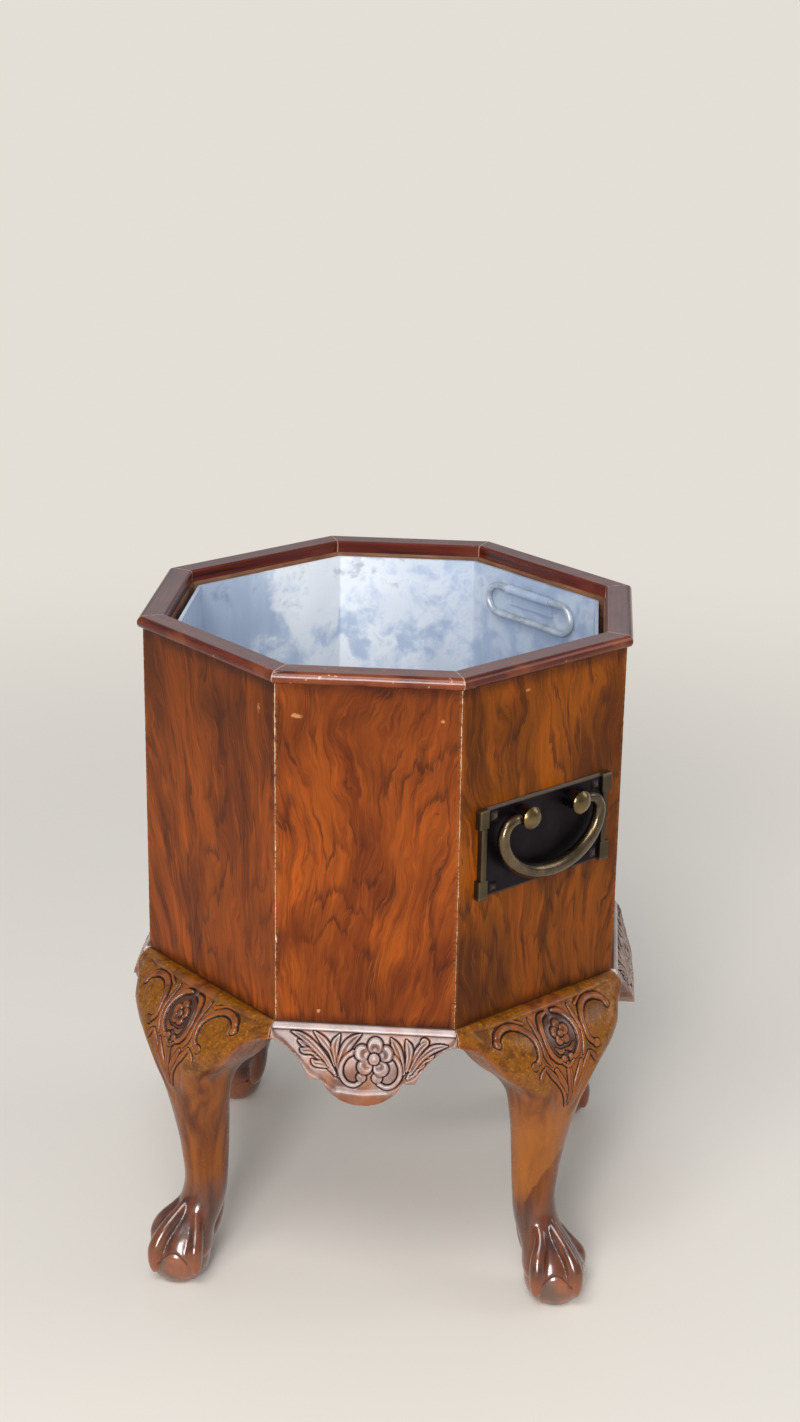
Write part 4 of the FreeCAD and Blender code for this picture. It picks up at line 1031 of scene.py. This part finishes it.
def dress_metal():
    give(zinc_finish(), "liner_walls", "liner_base", "liner_strap_front_left",
         "liner_strap_back_right", "liner_rivets")
    give(wire_finish(), "liner_ring_front_left", "liner_ring_back_right")
    give(steel_finish(), "leg_screws", "handle_nuts")
    bail = brass_finish("bail_brass", shade(42, 34, 26), shade(108, 90, 62), 4.5, 6.5)
    post = brass_finish("post_brass", shade(62, 50, 30), shade(118, 96, 56), 11.0, 1.5)
    plate = plate_finish()
    give(plate, "handle_studs")
    for corner in ("front_right", "back_left"):
        give(plate, "handle_plate_" + corner)
        give(post, "handle_posts_" + corner)
        give(bail, "handle_bail_" + corner)


# ---------- room, lamps and camera
# Places and sizes here are in metres.

FLOOR_HALF = 80.0
MIDDLE = (0, 0, 0.25)         # of the cellarette, where most lamps point
CAMERA_PLACE = (0.1055, -1.2738, 0.76735)
CAMERA_PAN = math.radians(4.46)
CAMERA_TILT = math.radians(19.45)
CAMERA_LEAN = math.radians(0.92)
LENS_LENGTH = 58.8            # in millimetres, as GATE_WIDTH is
GATE_WIDTH = 36


def set_floor():
    """A plain pale floor. Far from the piece it keeps one even tone to the camera."""
    shape = bmesh.new()
    bmesh.ops.create_grid(shape, x_segments=40, y_segments=40, size=FLOOR_HALF)
    mesh = bpy.data.meshes.new("floor")
    shape.to_mesh(mesh)
    shape.free()
    floor = put("floor", mesh)
    finish = Finish("floor_pale")
    x, y, _ = finish.parts(finish.place)
    away = finish.maths("SQRT", x * x + y * y, 0.0).fade(0.45, 1.5)
    rays = finish.add("ShaderNodeLightPath", {}, {})
    seen = (Number(finish, rays.outputs["Is Camera Ray"])
            + Number(finish, rays.outputs["Is Glossy Ray"])).least(1.0)
    near = finish.add("ShaderNodeBsdfDiffuse", {}, {"Color": FLOOR_SHADE})
    far = finish.add("ShaderNodeEmission", {}, {"Color": FLOOR_SHADE, "Strength": 1.0})
    ends = {0: away * seen, 1: near.outputs[0], 2: far.outputs[0]}
    both = finish.add("ShaderNodeMixShader", {}, ends)
    finish.add("ShaderNodeOutputMaterial", {}, {"Surface": both.outputs[0]})
    mesh.materials.append(finish.material)


def add_lamp(name, place, target, size, power, tint):
    lamp = bpy.data.lights.new(name, "AREA")
    lamp.shape = "RECTANGLE"
    lamp.size, lamp.size_y = size
    lamp.energy = power
    lamp.color = tint
    holder = put(name, lamp)
    holder.location = place
    aim = Vector(target) - Vector(place)
    holder.rotation_euler = aim.to_track_quat("-Z", "Y").to_euler()


def set_light():
    world = bpy.data.worlds.new("studio")
    bpy.context.scene.world = world
    world.use_nodes = True
    air = world.node_tree.nodes["Background"]
    air.inputs["Color"].default_value = (0.86, 0.90, 0.96, 1)
    air.inputs["Strength"].default_value = 0.41
    add_lamp("window", (-0.28, -3.1, 1.35), MIDDLE, (0.85, 1.5), 80, (1.0, 0.98, 0.98))
    add_lamp("skylight", (-0.4, -1.5, 2.5), MIDDLE, (1.4, 1.2), 32, (1.0, 0.99, 0.97))
    add_lamp("side_fill", (2.1, 0.3, 1.5), MIDDLE, (1.0, 1.2), 8, (1.0, 0.97, 0.93))
    add_lamp("back_sheen", (0, 2.6, 1.65), (0, 0, 0.4), (2.6, 1.0), 5.5, (0.92, 0.95, 1.0))


def set_camera():
    """A camera in front of the piece, above it and a little to its right. Its back and right
    come from pan and tilt, and lean turns it about its own line of sight."""
    level = Vector((math.sin(CAMERA_PAN), -math.cos(CAMERA_PAN), 0))
    back = level * math.cos(CAMERA_TILT) + Vector((0, 0, math.sin(CAMERA_TILT)))
    right = Vector((math.cos(CAMERA_PAN), math.sin(CAMERA_PAN), 0))
    up = back.cross(right)
    turned_right = right * math.cos(CAMERA_LEAN) + up * math.sin(CAMERA_LEAN)
    turned_up = up * math.cos(CAMERA_LEAN) - right * math.sin(CAMERA_LEAN)
    lens = bpy.data.cameras.new("camera")
    lens.lens = LENS_LENGTH
    lens.sensor_width = GATE_WIDTH
    lens.clip_start = 0.01
    camera = put("camera", lens)
    axes = Matrix((turned_right, turned_up, back)).transposed().to_4x4()
    camera.matrix_world = Matrix.Translation(CAMERA_PLACE) @ axes
    bpy.context.scene.camera = camera


set_camera()
set_floor()
set_light()
bpy.context.scene.view_settings.view_transform = "Standard"

dress_case()
dress_metal()
# The last number is how much painted grey sheen lies over the carving: some on the aprons, none on
# the legs.
make_aprons(carved_finish("carved_apron_polish", shade(132, 84, 60), 0.55))
make_legs(carved_finish("carved_leg_polish", shade(150, 86, 44), 0.0))
